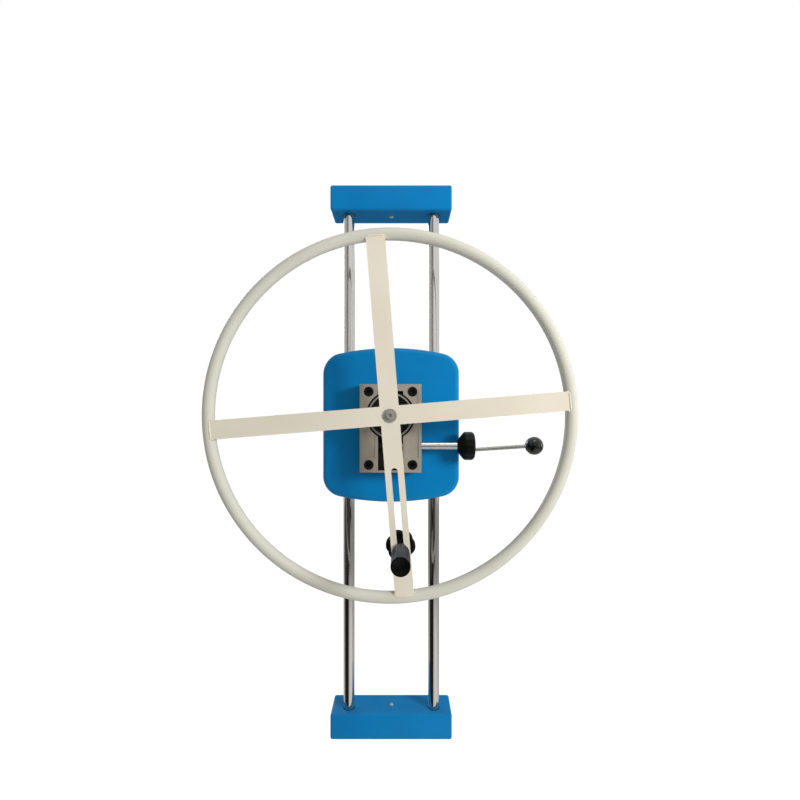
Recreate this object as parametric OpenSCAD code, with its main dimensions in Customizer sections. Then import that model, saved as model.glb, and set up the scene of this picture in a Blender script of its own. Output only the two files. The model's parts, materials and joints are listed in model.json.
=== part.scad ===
// Wall shoulder wheel: a hand wheel with a braked spindle on a carriage that
// slides on two wall rails. Origin: middle of the four wall bolts, on the wall.
// +X is the user's right, +Y points into the wall, +Z is up. Lengths in mm.
// A "distance" below is measured outward from the wall, so Y = -distance.

/* [Wall frame] */
// Overall height of the frame, over both end covers
frame_h = 1230; // [1100:10:1500]
// Spacing of the rails, centre to centre
rail_gap = 192; // [180:2:230]
// Outside diameter of the rail tubes
rail_d = 25; // [22:0.5:30]
// Wall thickness of the rail tubes
rail_wall = 2; // [1.5:0.5:4]
// Distance of the rail axes from the wall
rail_off = 50; // [44:1:64]
// Height of an end cover
end_h = 56; // [50:1:90]
// Depth of an end cover, from the wall
end_depth = 80; // [80:1:110]
// How far an end cover reaches past a rail axis, sideways
end_side = 39; // [34:1:60]
// Wall thickness of the end covers
end_t = 3; // [2:0.5:4]
// Edge radius of the end covers
end_r = 5; // [3:0.5:8]
// Thickness of the wall bracket plates
bracket_t = 5; // [4:0.5:8]
// Sideways spacing of the wall bolts
wall_bolt_gap = 120; // [90:5:125]
// Diameter of the wall bolt holes
wall_bolt_d = 11; // [8:0.5:13]
// Half width of a rail socket block
socket_half = 20; // [18:1:24]
// Thickness of the closed end of a rail socket
socket_floor = 6; // [4:1:12]
// Diameter of the socket grub screws
grub_d = 8; // [5:1:10]
// Width of the tab that the end cover screw bites in
tab_w = 36; // [20:2:60]
// Thickness of that tab
tab_t = 4; // [3:0.5:6]
// Diameter of the end cover screws
end_screw_d = 5; // [4:0.5:6]
// Gap round a rail where it leaves an end cover
rail_notch_gap = 2; // [1:0.5:4]

/* [Carriage] */
// Height of the wheel axis over the frame's middle, as parked
hub_z = 104; // [-100:2:150]
// Height of the wheel axis over the middle of the carriage
hub_rise = 21; // [0:1:40]
// Height of the carriage cover at its crown
carriage_h = 340; // [330:2:420]
// How far the carriage cover reaches past a rail axis, sideways
carriage_side = 54; // [52:1:90]
// Depth of the carriage cover
carriage_depth = 75; // [60:1:80]
// Radius of the crowned top and bottom edges
crown_r = 540; // [450:10:1200]
// Corner radius of the carriage cover
corner_r = 45; // [24:1:50]
// Radius of the front edge of the carriage cover
edge_r = 12; // [5:1:14]
// Wall thickness of the carriage cover
cover_t = 3; // [2:0.5:4]
// Thickness of the carriage plate
plate_t = 8; // [6:0.5:12]
// Border of the plate outside the guide blocks
plate_border = 4; // [1:0.5:5]
// From the crown to the middle of the nearest guide block
guide_inset = 60; // [56:1:70]
// Height of a guide block
guide_h = 50; // [40:2:60]
// Guide block wall round its bush
guide_wall = 8; // [6:0.5:10]
// Guide block metal between bush and plate
guide_cap = 15; // [14:0.5:20]
// Wall thickness of the slide bushes
bush_t = 3.4; // [2:0.2:5]
// Gap round a rail where it passes the carriage cover
carriage_notch_gap = 2.5; // [1:0.5:5]
// Diameter of the plate's countersunk screws
plate_screw_d = 6; // [5:0.5:7]

/* [Brake housing] */
// Width of the brake housing
housing_w = 130; // [126:1:150]
// Height of the brake housing
housing_h = 186; // [180:1:220]
// Depth of the brake housing
housing_depth = 44; // [42:1:56]
// Height of the housing over the wheel axis
housing_rise = 66; // [64:1:80]
// Thickness of the housing's floor
housing_floor = 6; // [4:0.5:8]
// Diameter of the round bore
bore_d = 103; // [96:1:106]
// Width of the recess that runs through the bore and below it
recess_w = 53; // [52:0.5:56]
// Metal left under the recess
recess_wall = 4.5; // [3:0.5:10]
// Screw centres from the housing's sides
screw_inset_x = 19; // [14:0.5:19.5]
// Screw centres from the housing's top and bottom
screw_inset_z = 16; // [14:0.5:18]
// Diameter of the housing screws
housing_screw_d = 12; // [10:1:12]
// Diameter of the screw head pockets
head_pocket_d = 21; // [19:0.5:22]
// Width of the shallow panel on each leg
leg_panel_w = 26; // [20:1:28]
// Height of the shallow panels
leg_panel_h = 58; // [40:1:60]
// Depth of the shallow panels
leg_panel_depth = 1.5; // [0.5:0.5:3]

/* [Brake] */
// Thickness of the brake band
band_t = 1.2; // [0.8:0.2:2]
// Thickness of the brake lining
lining_t = 1.7; // [1:0.1:2.5]
// Width of the brake band
band_w = 26; // [20:1:27]
// Wall thickness of the brake drum
drum_t = 4; // [3:0.5:6]
// How far the drum's edge lies inside the housing
drum_recess = 4; // [2:0.5:8]
// Thickness of the band's ears
ear_t = 5; // [4:0.5:6]
// From the middle of the band to the inner face of an ear
ear_x = 12; // [11:0.5:12.5]
// How far the damping screw lies under the wheel axis
damp_drop = 65; // [63:0.5:72]
// Damping screw from the housing's front
damp_inset = 16; // [14:0.5:20]
// Thread diameter of the damping screw
damp_thread_d = 12; // [10:1:14]
// Diameter of the plain rod of the damping screw
damp_rod_d = 16; // [15:0.5:20]
// Free length of that rod, housing to knob
damp_rod_len = 77; // [60:1:110]
// Diameter of the damping knob
damp_knob_d = 60; // [50:1:66]
// Diameter of the knob's narrow end
damp_knob_nose_d = 28; // [24:1:40]
// Length of the damping knob
damp_knob_len = 36; // [30:1:50]
// Length of its taper
damp_taper_len = 15; // [8:1:20]
// Diameter of the pressure pad
pad_d = 16; // [14:0.5:16]
// Thickness of the pressure pad
pad_t = 5; // [4:0.5:7]
// Travel of the pressure pad, from tight to free
pad_travel = 3.5; // [2:0.5:5]
// Diameter of the band's anchor screw
anchor_d = 10; // [8:1:12]

/* [Spindle] */
// Diameter of the spindle
spindle_d = 20; // [17:1:20]
// Outside diameter of the bearings
bearing_d = 47; // [47:1:52]
// Width of a bearing
bearing_w = 14; // [12:1:15]
// Diameter of the bearing balls
ball_d = 7.94; // [6.5:0.02:8.2]
// Balls in a bearing
balls_per_bearing = 8; // [7:1:9]
// Spacing sleeve between the bearings
spacer_len = 18; // [8:1:20]
// Metal of the bearing housing round a bearing
bearing_wall = 6; // [4:0.5:9]
// Width of the housing's flange beyond its body
bearing_flange = 15; // [14:0.5:20]
// Thickness of that flange
bearing_flange_t = 8; // [6:0.5:10]
// Diameter of the boss behind the spokes
boss_d = 38; // [34:1:44]
// Width and height of the spindle key
key_w = 6; // [5:0.5:6]
// Length of the key
key_len = 66; // [50:1:75]
// Diameter of the hub bolt
hub_bolt_d = 8; // [6:1:9]
// Diameter of the hub washer
hub_washer_d = 28; // [20:1:36]

/* [Wheel] */
// Outside diameter of the wheel
wheel_d = 750; // [640:10:900]
// Diameter of the rim tube
rim_tube_d = 25; // [20:0.5:32]
// Wall thickness of the rim tube
rim_wall = 2; // [1.2:0.1:3]
// Width of the flat spokes
spoke_w = 38; // [32:1:50]
// Thickness of the flat spokes
spoke_t = 5; // [4:0.5:8]
// How far the spokes' front lies behind the rim's front
spoke_inset = 1; // [0.5:0.5:3]
// How far the parked wheel is turned, right end up
wheel_turn = 4.65; // [-30:0.05:30]
// Width of the handle slot
slot_w = 13; // [12.6:0.1:15]
// Start of the slot, from the wheel axis
slot_start = 104; // [80:1:140]
// From the slot's outer end to the inside of the rim
slot_end_gap = 65; // [30:1:90]

/* [Handle] */
// Parked handle, from the slot's outer end
handle_park = 23; // [8:0.5:60]
// Diameter of the handle stud
stud_d = 12; // [10:0.5:12.4]
// Diameter of the stud's collar
collar_d = 21; // [20:0.5:28]
// Thickness of the collar
collar_t = 8; // [5:0.5:12]
// Diameter of the neck between collar and grip
neck_d = 14; // [13:0.5:18]
// Free length of the neck
neck_len = 26; // [10:1:50]
// Diameter of the grip
grip_d = 35; // [30:0.5:42]
// Length of the grip
grip_len = 91; // [80:1:130]
// Diameter of the axle inside the grip
axle_d = 10; // [8:0.5:12]
// Wall thickness of the grip's bush
grip_bush_t = 2.5; // [1.5:0.5:4]
// Diameter of the star knob, over its lobes
star_d = 60; // [50:1:70]
// Thickness of the star knob
star_t = 27; // [25:0.5:32]
// Lobes of the star knob
star_lobes = 6; // [5:1:9]
// How far the star knob stands turned
star_turn = -10.5; // [-30:0.5:30]
// Travel of the star knob, from tight to free
star_travel = 3.5; // [2:0.5:5]
// Thickness of its washer
star_washer_t = 2; // [1.5:0.5:3]
// Free depth between the damping knob and the loosened star knob
knob_pass_gap = 13.5; // [8:0.5:40]

/* [Height clamp] */
// Height of the rail clamp block
clamp_h = 36; // [28:1:40]
// Clamp block over the lower guide block
clamp_gap = 8; // [2:1:16]
// Clamp wall round the rail
clamp_wall = 7.4; // [6:0.2:9]
// Gap between the clamp block and the lever's hub, sideways
clamp_hub_gap = 1; // [0.5:0.5:3]
// Diameter of the clamp screw
clamp_screw_d = 10; // [8:0.5:12]
// Slit of the clamp
clamp_slit = 3; // [2:0.5:4]
// Thickness of a clamp ear
clamp_ear_t = 13.5; // [10:0.5:14]
// Diameter of the lever's hub
lever_hub_d = 24; // [20:1:26]
// Diameter of the lever rod
lever_rod_d = 8; // [6:0.5:10]
// From the clamp screw to the middle of the ball
lever_len = 190; // [120:5:260]
// Rise of the parked lever
lever_rise = 3.7; // [-10:0.1:15]
// How far the lever lifts to let go, from parked
lever_lift = 45; // [20:1:50]
// How far the lever presses down to lock, from parked
lever_press = 15; // [5:1:30]
// Diameter of the lever ball
lever_ball_d = 40; // [30:1:50]

/* [Fits] */
// Radial gap of a running shaft or slide
run_gap = 0.06; // [0.03:0.01:0.1]
// Radial gap of a fixed pin or sleeve
seat_gap = 0.03; // [0.01:0.01:0.05]
// Gap between faces that move past each other
face_gap = 0.3; // [0.2:0.05:0.5]

/* [Hidden] */
$fn = 72;
over = 1;
thin = 0.02;
edge_steps = 5;
corner_steps = 6;
crown_steps = 12;

// Wall frame, upper end: heights over the frame's middle
end_in = frame_h / 2 - end_h;
bracket_in = end_in + end_t + face_gap;
bracket_out = frame_h / 2 - end_t - face_gap;
bracket_mid = (bracket_in + bracket_out) / 2;
bracket_h = bracket_out - bracket_in;
rail_x = rail_gap / 2;
rail_r = rail_d / 2;
rail_end = bracket_out - socket_floor;
end_w = rail_gap + 2 * end_side;
bracket_w = end_w - 2 * (end_t + face_gap);
socket_front = rail_off + socket_half;
end_screw_dist = end_depth / 2;
end_screw_head_t = 2.6;
end_screw_len = 14;

// Carriage
carriage_w = rail_gap + 2 * carriage_side;
carriage_z = hub_z - hub_rise;
corner_x = carriage_w / 2 - corner_r;
corner_z = carriage_h / 2 - crown_r + sqrt((crown_r - corner_r) ^ 2 - corner_x ^ 2);
crown_start = acos(corner_x / (crown_r - corner_r));
bush_in = rail_r + run_gap;
bush_out = bush_in + bush_t;
guide_half = bush_out + guide_wall;
plate_back = rail_off + bush_out + guide_cap;
plate_front = plate_back + plate_t;
cover_front = plate_front + cover_t;
cover_back = cover_front - carriage_depth;
guide_rise = carriage_h / 2 - guide_inset;
plate_w = rail_gap + 2 * (guide_half + plate_border);
plate_h = 2 * (guide_rise + guide_h / 2 + plate_border);
plate_screw_bite = 12;
plate_screw_gap = guide_h / 3;
countersink_t = plate_screw_d / 2;
passage_gap = 8;
passage_r = spindle_d / 2 + passage_gap;

// Brake housing
housing_front = cover_front + housing_depth;
housing_mid = housing_rise - housing_h / 2;
housing_back_wall = cover_front + housing_floor;
bore_r = bore_d / 2;
recess_low = housing_rise - housing_h + recess_wall;
screw_x = housing_w / 2 - screw_inset_x;
screw_z = housing_h / 2 - screw_inset_z;
head_h = housing_screw_d;
head_r = housing_screw_d * 0.75;
head_pocket_depth = head_h + 1;
leg_mid = (recess_w / 2 + housing_w / 2) / 2;
leg_panel_top = housing_mid - screw_z + head_pocket_d / 2 + 3 + leg_panel_h;

// Brake
band_gap = 0.3;
band_out = bore_r - band_gap;
band_in = band_out - band_t;
lining_in = band_in - lining_t;
drum_r = lining_in - face_gap;
drum_back = housing_back_wall + 1.5;
drum_web_t = 6;
drum_front = housing_front - drum_recess;
drum_hub_r = 20;
drum_neck_r = spindle_d / 2 + 4;
band_front = drum_front - 2;
band_back = band_front - band_w;
damp_dist = housing_front - damp_inset;
ear_h = 26;
ear_low = damp_drop + ear_h / 2;
ear_half = min(damp_inset, band_w / 2) - 3;
pad_x = ear_x + ear_t + face_gap;
pad_pocket = 1.4;
thread_bush_r = pad_d / 2 + 1.5;
thread_bush_x = max(recess_w / 2, pad_x + pad_t + pad_travel + 1);
damp_neck_r = pad_d / 4;
damp_rod_x = housing_w / 2 + face_gap;
damp_knob_x = housing_w / 2 + damp_rod_len;
damp_rod_in = damp_knob_len * 0.6;
damp_shoulder = damp_taper_len / 3;
damp_end = damp_knob_len / 5;
anchor_head_t = anchor_d * 0.8;

// Spindle, as distances from the wall
bearing_front = plate_back;
bearing_rear = bearing_front - 2 * bearing_w - spacer_len;
circlip_t = 1.2;
spindle_back = bearing_rear - circlip_t - 3;
boss_back = drum_front + 2;
race_t = 4;
ball_r = ball_d / 2;
ball_orbit = (spindle_d + bearing_d) / 4;
ball_gap = 0.05;
bearing_body_r = bearing_d / 2 + bearing_wall;
flange_r = bearing_body_r + bearing_flange;
flange_screw_r = bearing_body_r + bearing_flange / 2;
flange_screw_d = 6;

// Wheel, as distances from the wall
damp_knob_front = damp_dist + damp_knob_d / 2;
star_back = damp_knob_front + knob_pass_gap + star_travel;
star_front = star_back + star_t;
spoke_back = star_front + star_washer_t + face_gap;
spoke_front = spoke_back + spoke_t;
rim_dist = spoke_front + spoke_inset - rim_tube_d / 2;
rim_r = wheel_d / 2 - rim_tube_d / 2;
weld_gap = 0.05;
slot_end = rim_r - rim_tube_d / 2 - slot_end_gap;
handle_r = slot_end - handle_park;
spindle_front = spoke_back - 6;
hub_washer_t = 2;
hub_bolt_head_t = 5;
key_low = spindle_d / 2 - key_w / 2;
key_back = drum_back + drum_web_t + 2;
vent_d = 5;

// Handle, as distances from the wall
collar_back = spoke_front + face_gap;
neck_back = collar_back + collar_t;
grip_back = neck_back + neck_len;
grip_front = grip_back + grip_len;
cap_t = 3;
cap_back = grip_front - cap_t;
grip_pocket_depth = 8;
axle_front = cap_back - grip_pocket_depth + face_gap;
grip_pocket_r = grip_d / 2 - 6.5;
grip_washer_t = 1.5;
grip_screw_d = 6;
grip_screw_head_t = 3.5;
insert_wall = 3;
insert_floor = 5;
stud_back = star_back + insert_floor + 3;
lobe_r = star_d / 2 * sin(180 / star_lobes) * 1.13;

// Height clamp
clamp_half = bush_in + clamp_wall;
clamp_z = carriage_z - guide_rise + guide_h / 2 + clamp_gap + clamp_h / 2;
clamp_x = rail_x + clamp_half + max(lever_hub_d, clamp_screw_d * 2) / 2 + clamp_hub_gap;
clamp_ear_end = clamp_x + clamp_screw_d;
ear_face = clamp_slit / 2 + clamp_ear_t;
lever_back = rail_off + ear_face + face_gap;
lever_front = plate_back - 1;
lever_dist = (lever_back + lever_front) / 2;
lever_slot_gap = 2;
clamp_nut_t = 8;
clamp_screw_back = rail_off - ear_face - clamp_nut_t - 2;

// Round bar along Y, between two distances from the wall
module y_bar(r, near, far) {
    translate([0, -near, 0]) rotate([90, 0, 0]) cylinder(r = r, h = far - near);
}

// Tube along Y, between two distances from the wall
module y_tube(r_out, r_in, near, far) {
    difference() {
        y_bar(r_out, near, far);
        y_bar(r_in, near - over, far + over);
    }
}

// Block centred on the Y axis, between two distances from the wall
module y_box(w, h, near, far) {
    translate([-w / 2, -far, -h / 2]) cube([w, far - near, h]);
}

// Flat outline drawn in X and Z, given a thickness between two distances
module y_plate(near, far) {
    translate([0, -near, 0]) rotate([90, 0, 0]) linear_extrude(far - near) children();
}

// Round bar along X
module x_bar(r, from, to) {
    translate([from, 0, 0]) rotate([0, 90, 0]) cylinder(r = r, h = to - from);
}

// Round bar along Z
module z_bar(r, from, to) {
    translate([0, 0, from]) cylinder(r = r, h = to - from);
}

// Six-sided socket or nut outline along Y
module y_hex(across, near, far) {
    translate([0, -near, 0]) rotate([90, 0, 0])
        cylinder(d = across / cos(30), h = far - near, $fn = 6);
}

// Screw along Y with a cylinder head in front of its seat
module socket_screw(d, head_d, head_t, tip, seat) {
    difference() {
        union() {
            y_bar(d / 2, tip, seat);
            y_bar(head_d / 2, seat, seat + head_t);
        }
        y_hex(head_d * 0.52, seat + head_t * 0.4, seat + head_t + over);
    }
}

module both_ends() {
    children();
    mirror([0, 0, 1]) children();
}

module both_sides() {
    children();
    mirror([1, 0, 0]) children();
}

module at_hub() translate([0, 0, hub_z]) children();

module at_wheel() at_hub() rotate([0, -wheel_turn, 0]) children();

module at_handle() at_wheel() translate([0, 0, -handle_r]) children();

module at_housing_screws() {
    for (side = [-1, 1], level = [-1, 1])
        translate([side * screw_x, 0, hub_z + housing_mid + level * screw_z]) children();
}

module at_guides() {
    for (side = [-1, 1], level = [-1, 1])
        translate([side * rail_x, 0, carriage_z + level * guide_rise]) children();
}

module at_plate_screws() {
    at_guides() for (level = [-1, 1]) translate([0, 0, level * plate_screw_gap]) children();
    for (level = [-1, 1])
        translate([rail_x - clamp_half / 2, 0, clamp_z + level * clamp_h / 4]) children();
}

module at_flange_screws() {
    at_hub() for (turn = [45 : 90 : 315]) rotate([0, turn, 0])
        translate([flange_screw_r, 0, 0]) children();
}

module at_damper() translate([0, -damp_dist, hub_z - damp_drop]) children();

module at_clamp() translate([clamp_x, 0, clamp_z]) children();

module at_lever() at_clamp() translate([0, -lever_dist, 0]) rotate([0, -lever_rise, 0]) children();

// Wall frame

module wall_bracket() {
    difference() {
        union() {
            translate([0, 0, bracket_mid]) y_box(bracket_w, bracket_h, 0, bracket_t);
            translate([0, 0, bracket_in + tab_t / 2])
                y_box(tab_w, tab_t, 0, end_screw_dist + end_screw_d * 2);
        }
        for (side = [-1, 1]) translate([side * wall_bolt_gap / 2, 0, bracket_mid])
            y_bar(wall_bolt_d / 2, -over, bracket_t + over);
        translate([0, -end_screw_dist, 0])
            z_bar(end_screw_d / 2 + seat_gap, bracket_in - over, bracket_in + tab_t + over);
    }
}

module top_wall_bracket() color("dimgray") wall_bracket();

module bottom_wall_bracket() color("dimgray") mirror([0, 0, 1]) wall_bracket();

module rail_sockets() color("gray") both_ends() both_sides() translate([rail_x, 0, 0])
    difference() {
        translate([0, 0, bracket_mid])
            y_box(2 * socket_half, bracket_h, bracket_t, socket_front);
        translate([0, -rail_off, 0]) z_bar(rail_r + seat_gap, bracket_in - over, rail_end);
        translate([0, 0, bracket_mid])
            y_bar(grub_d / 2 + seat_gap, rail_off, socket_front + over);
    }

module socket_grub_screws() color("black") both_ends() both_sides()
    translate([rail_x, 0, bracket_mid]) difference() {
        y_bar(grub_d / 2, rail_off + rail_r + seat_gap, socket_front - 0.5);
        y_hex(grub_d / 2, rail_off + rail_r + 3, socket_front);
    }

module rail(side) color("gainsboro") translate([side * rail_x, -rail_off, 0]) difference() {
    z_bar(rail_r, -rail_end, rail_end);
    z_bar(rail_r - rail_wall, -rail_end - over, rail_end + over);
}

module left_rail() rail(-1);

module right_rail() rail(1);

module end_cover() color("dodgerblue") difference() {
    hull() for (x = [-1, 1], z = [end_in + end_r, frame_h / 2 - end_r]) {
        translate([x * (end_w / 2 - end_r), -end_depth + end_r, z]) sphere(r = end_r, $fn = 32);
        translate([x * (end_w / 2 - end_r), 0, z]) rotate([90, 0, 0])
            cylinder(r = end_r, h = thin, $fn = 32);
    }
    translate([0, 0, bracket_mid])
        y_box(end_w - 2 * end_t, bracket_h + 2 * face_gap, -over, end_depth - end_t);
    for (side = [-1, 1]) translate([side * rail_x, -rail_off, end_in - over]) {
        cylinder(r = rail_r + rail_notch_gap, h = end_t + 2 * over);
        translate([-rail_r - rail_notch_gap, 0, 0])
            cube([rail_d + 2 * rail_notch_gap, rail_off + over, end_t + 2 * over]);
    }
    translate([0, -end_screw_dist, 0])
        z_bar(end_screw_d / 2 + face_gap, end_in - over, end_in + end_t + over);
}

module top_end_cover() end_cover();

module bottom_end_cover() mirror([0, 0, 1]) end_cover();

module end_cover_screws() color("silver") both_ends() translate([0, -end_screw_dist, 0])
    difference() {
        union() {
            z_bar(end_screw_d / 2, end_in, end_in + end_screw_len);
            translate([0, 0, end_in - end_screw_head_t])
                cylinder(r1 = end_screw_d * 0.7, r2 = end_screw_d * 0.95, h = end_screw_head_t);
        }
        for (turn = [0, 90]) rotate([0, 0, turn])
            translate([-end_screw_d * 0.4, -0.5, end_in - end_screw_head_t - over])
                cube([end_screw_d * 0.8, 1, over + end_screw_head_t / 2]);
    }

// Carriage

// One half of the cover's outline, from its right side over the crown to its left side
function half_outline(inset) = concat(
    [for (i = [0 : corner_steps]) corner_point(crown_start * i / corner_steps, inset)],
    [for (i = [1 : crown_steps - 1])
        crown_point(crown_start + (180 - 2 * crown_start) * i / crown_steps, inset)],
    [for (i = [corner_steps : -1 : 0]) let (p = corner_point(crown_start * i / corner_steps, inset))
        [-p[0], p[1]]]
);

function corner_point(a, inset) = [
    corner_x + (corner_r - inset) * cos(a),
    corner_z + (corner_r - inset) * sin(a)
];

function crown_point(a, inset) = [
    (crown_r - inset) * cos(a),
    carriage_h / 2 - crown_r + (crown_r - inset) * sin(a)
];

// Whole outline at one distance from the wall, as points in space
function cover_ring(inset, dist) = [
    for (half = [1, -1], p = half_outline(inset)) [half * p[0], -dist, half * p[1]]
];

// Closed body of the carriage cover, with its rounded front edge
module carriage_form(inset, back) {
    r = edge_r - inset;
    rings = concat([cover_ring(inset, back)], [
        for (step = [0 : edge_steps]) let (a = 90 * step / edge_steps)
            cover_ring(inset + r * (1 - cos(a)), cover_front - edge_r + r * sin(a))
    ]);
    n = len(rings[0]);
    last = len(rings) - 1;
    sides = [for (k = [0 : last - 1], i = [0 : n - 1]) let (j = (i + 1) % n)
        each [[k * n + i, k * n + n + i, k * n + n + j], [k * n + i, k * n + n + j, k * n + j]]];
    caps = [[for (i = [0 : n - 1]) i], [for (i = [n - 1 : -1 : 0]) last * n + i]];
    translate([0, 0, carriage_z])
        polyhedron([for (ring = rings) each ring], concat(sides, caps), convexity = 4);
}

// Height that the lever rod reaches at a side wall, for a given lift
function rod_height(lift, wall_x) =
    (wall_x - clamp_x) * tan(lift) + lever_rod_d / 2 / cos(lift) + lever_slot_gap;

module lever_slot() {
    up = rod_height(lever_rise + lever_lift, carriage_w / 2);
    down = rod_height(lever_press - lever_rise, carriage_w / 2);
    width = lever_rod_d + 2 * lever_slot_gap;
    translate([carriage_w / 2 - cover_t - over, -lever_dist - width / 2, clamp_z - down])
        cube([cover_t + 2 * over, width, up + down]);
}

module carriage_cover() color("dodgerblue") difference() {
    carriage_form(0, cover_back);
    carriage_form(cover_t, cover_back - over);
    both_sides() translate([rail_x, -rail_off, carriage_z]) {
        z_bar(rail_r + carriage_notch_gap, -carriage_h / 2, carriage_h / 2);
        translate([-rail_r - carriage_notch_gap, 0, -carriage_h / 2])
            cube([rail_d + 2 * carriage_notch_gap, rail_off, carriage_h]);
    }
    at_hub() y_bar(passage_r, plate_front - over, cover_front + over);
    at_housing_screws()
        y_bar(housing_screw_d / 2 + face_gap, plate_front - over, cover_front + over);
    lever_slot();
}

module carriage_plate() color("slategray") difference() {
    translate([0, 0, carriage_z]) y_box(plate_w, plate_h, plate_back, plate_front);
    at_hub() y_bar(passage_r, plate_back - over, plate_front + over);
    at_housing_screws()
        y_bar(housing_screw_d / 2 + seat_gap, plate_back - over, plate_front + over);
    at_flange_screws()
        y_bar(flange_screw_d / 2 + seat_gap, plate_back - over, plate_front + over);
    at_plate_screws() {
        y_bar(plate_screw_d / 2 + seat_gap, plate_back - over, plate_front + over);
        translate([0, -plate_front + countersink_t, 0]) rotate([90, 0, 0])
            cylinder(r1 = plate_screw_d / 2 + seat_gap, r2 = plate_screw_d + seat_gap,
                h = countersink_t);
        y_bar(plate_screw_d + seat_gap, plate_front, plate_front + over);
    }
}

module guide_blocks() color("silver") at_guides() difference() {
    y_box(2 * guide_half, guide_h, rail_off - guide_half, plate_back);
    translate([0, -rail_off, 0])
        z_bar(bush_out + seat_gap, -guide_h / 2 - over, guide_h / 2 + over);
    for (level = [-1, 1]) translate([0, 0, level * plate_screw_gap])
        y_bar(plate_screw_d / 2 + seat_gap, plate_back - plate_screw_bite - 1, plate_back + over);
}

module slide_bushes() color("ivory") at_guides() translate([0, -rail_off, 0]) difference() {
    z_bar(bush_out, -guide_h / 2, guide_h / 2);
    z_bar(bush_in, -guide_h / 2 - over, guide_h / 2 + over);
}

module plate_screws() color("dimgray") at_plate_screws() difference() {
    union() {
        y_bar(plate_screw_d / 2, plate_back - plate_screw_bite, plate_front - countersink_t);
        translate([0, -plate_front + countersink_t, 0]) rotate([90, 0, 0])
            cylinder(r1 = plate_screw_d / 2, r2 = plate_screw_d, h = countersink_t);
    }
    y_hex(plate_screw_d * 0.6, plate_front - countersink_t, plate_front + over);
}

// Brake housing and brake

module brake_housing() color("darkgray") difference() {
    at_hub() translate([0, 0, housing_mid])
        y_box(housing_w, housing_h, cover_front, housing_front);
    at_hub() {
        y_bar(bore_r, housing_back_wall, housing_front + over);
        y_bar(passage_r, cover_front - over, housing_front);
        translate([0, 0, (bore_r + recess_low) / 2])
            y_box(recess_w, bore_r - recess_low, housing_back_wall, housing_front + over);
        both_sides() translate([leg_mid, 0, leg_panel_top - leg_panel_h / 2])
            y_box(leg_panel_w, leg_panel_h, housing_front - leg_panel_depth, housing_front + over);
    }
    at_housing_screws() {
        y_bar(housing_screw_d / 2 + face_gap, cover_front - over, housing_front);
        y_bar(head_pocket_d / 2, housing_front - head_pocket_depth, housing_front + over);
    }
    at_damper() {
        x_bar(thread_bush_r + seat_gap, 0, housing_w / 2 + over);
        x_bar(anchor_d / 2 + seat_gap, -housing_w / 2 - over, 0);
        x_bar(anchor_d * 0.85, -housing_w / 2 - over, -housing_w / 2 + anchor_head_t + 1);
    }
}

module housing_screws() color("black") at_housing_screws()
    socket_screw(housing_screw_d, 2 * head_r, head_h, plate_back,
        housing_front - head_pocket_depth);

module bearing_housing() color("silver") difference() {
    at_hub() union() {
        y_bar(bearing_body_r, bearing_rear - 1, bearing_front);
        y_bar(flange_r, plate_back - bearing_flange_t, plate_back);
    }
    at_hub() {
        y_bar(bearing_d / 2 + seat_gap, bearing_front - bearing_w, bearing_front + over);
        y_bar(bearing_d / 2 + seat_gap, bearing_rear - 1 - over, bearing_rear + bearing_w);
        y_bar(bearing_d / 2 - race_t, bearing_rear, bearing_front);
    }
    at_flange_screws()
        y_bar(flange_screw_d / 2 + seat_gap, plate_back - bearing_flange_t - over,
            plate_back + over);
}

module bearing_housing_screws() color("black") at_flange_screws() difference() {
    union() {
        y_bar(flange_screw_d / 2, plate_back - bearing_flange_t, plate_front - 1);
        y_bar(flange_screw_d * 0.8, plate_back - bearing_flange_t - flange_screw_d * 0.8,
            plate_back - bearing_flange_t);
    }
    y_hex(flange_screw_d * 0.8, plate_back - bearing_flange_t - flange_screw_d,
        plate_back - bearing_flange_t - flange_screw_d * 0.3);
}

// Ring channel that the balls of a bearing run in
module ball_track(mid) {
    translate([0, -mid, 0]) rotate([90, 0, 0]) rotate_extrude()
        translate([ball_orbit, 0]) circle(r = ball_r + ball_gap);
}

module bearing_outer_races() color("silver") at_hub()
    for (back = [bearing_rear, bearing_front - bearing_w]) difference() {
        y_tube(bearing_d / 2, bearing_d / 2 - race_t, back, back + bearing_w);
        ball_track(back + bearing_w / 2);
    }

module bearing_inner_races() color("silver") at_hub()
    for (back = [bearing_rear, bearing_front - bearing_w]) difference() {
        y_tube(spindle_d / 2 + race_t, spindle_d / 2 + seat_gap, back, back + bearing_w);
        ball_track(back + bearing_w / 2);
    }

module bearing_balls() color("gainsboro") at_hub()
    for (back = [bearing_rear, bearing_front - bearing_w], i = [1 : balls_per_bearing])
        rotate([0, i * 360 / balls_per_bearing, 0])
            translate([ball_orbit, -back - bearing_w / 2, 0]) sphere(r = ball_r);

module bearing_spacer() color("gray") at_hub()
    y_tube(spindle_d / 2 + race_t - 1, spindle_d / 2 + seat_gap,
        bearing_rear + bearing_w, bearing_front - bearing_w);

module brake_band() color("dimgray") at_hub() difference() {
    union() {
        y_bar(band_out, band_back, band_front);
        both_sides() translate([ear_x, -damp_dist - ear_half, -ear_low])
            cube([ear_t, 2 * ear_half, ear_low - band_in * 0.8]);
    }
    y_bar(band_in, band_back - over, band_front + over);
    translate([-ear_x, -band_front - over, -band_out - over])
        cube([2 * ear_x, band_w + 2 * over, band_out]);
    translate([0, -damp_dist, -damp_drop])
        x_bar(anchor_d / 2 + seat_gap, -ear_x - ear_t - over, 0);
}

module brake_lining() color("black") at_hub() difference() {
    y_tube(band_in - seat_gap, lining_in, band_back, band_front);
    translate([-ear_x - 2, -band_front - over, -band_out])
        cube([2 * ear_x + 4, band_w + 2 * over, band_out / 2 + 2]);
}

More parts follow.
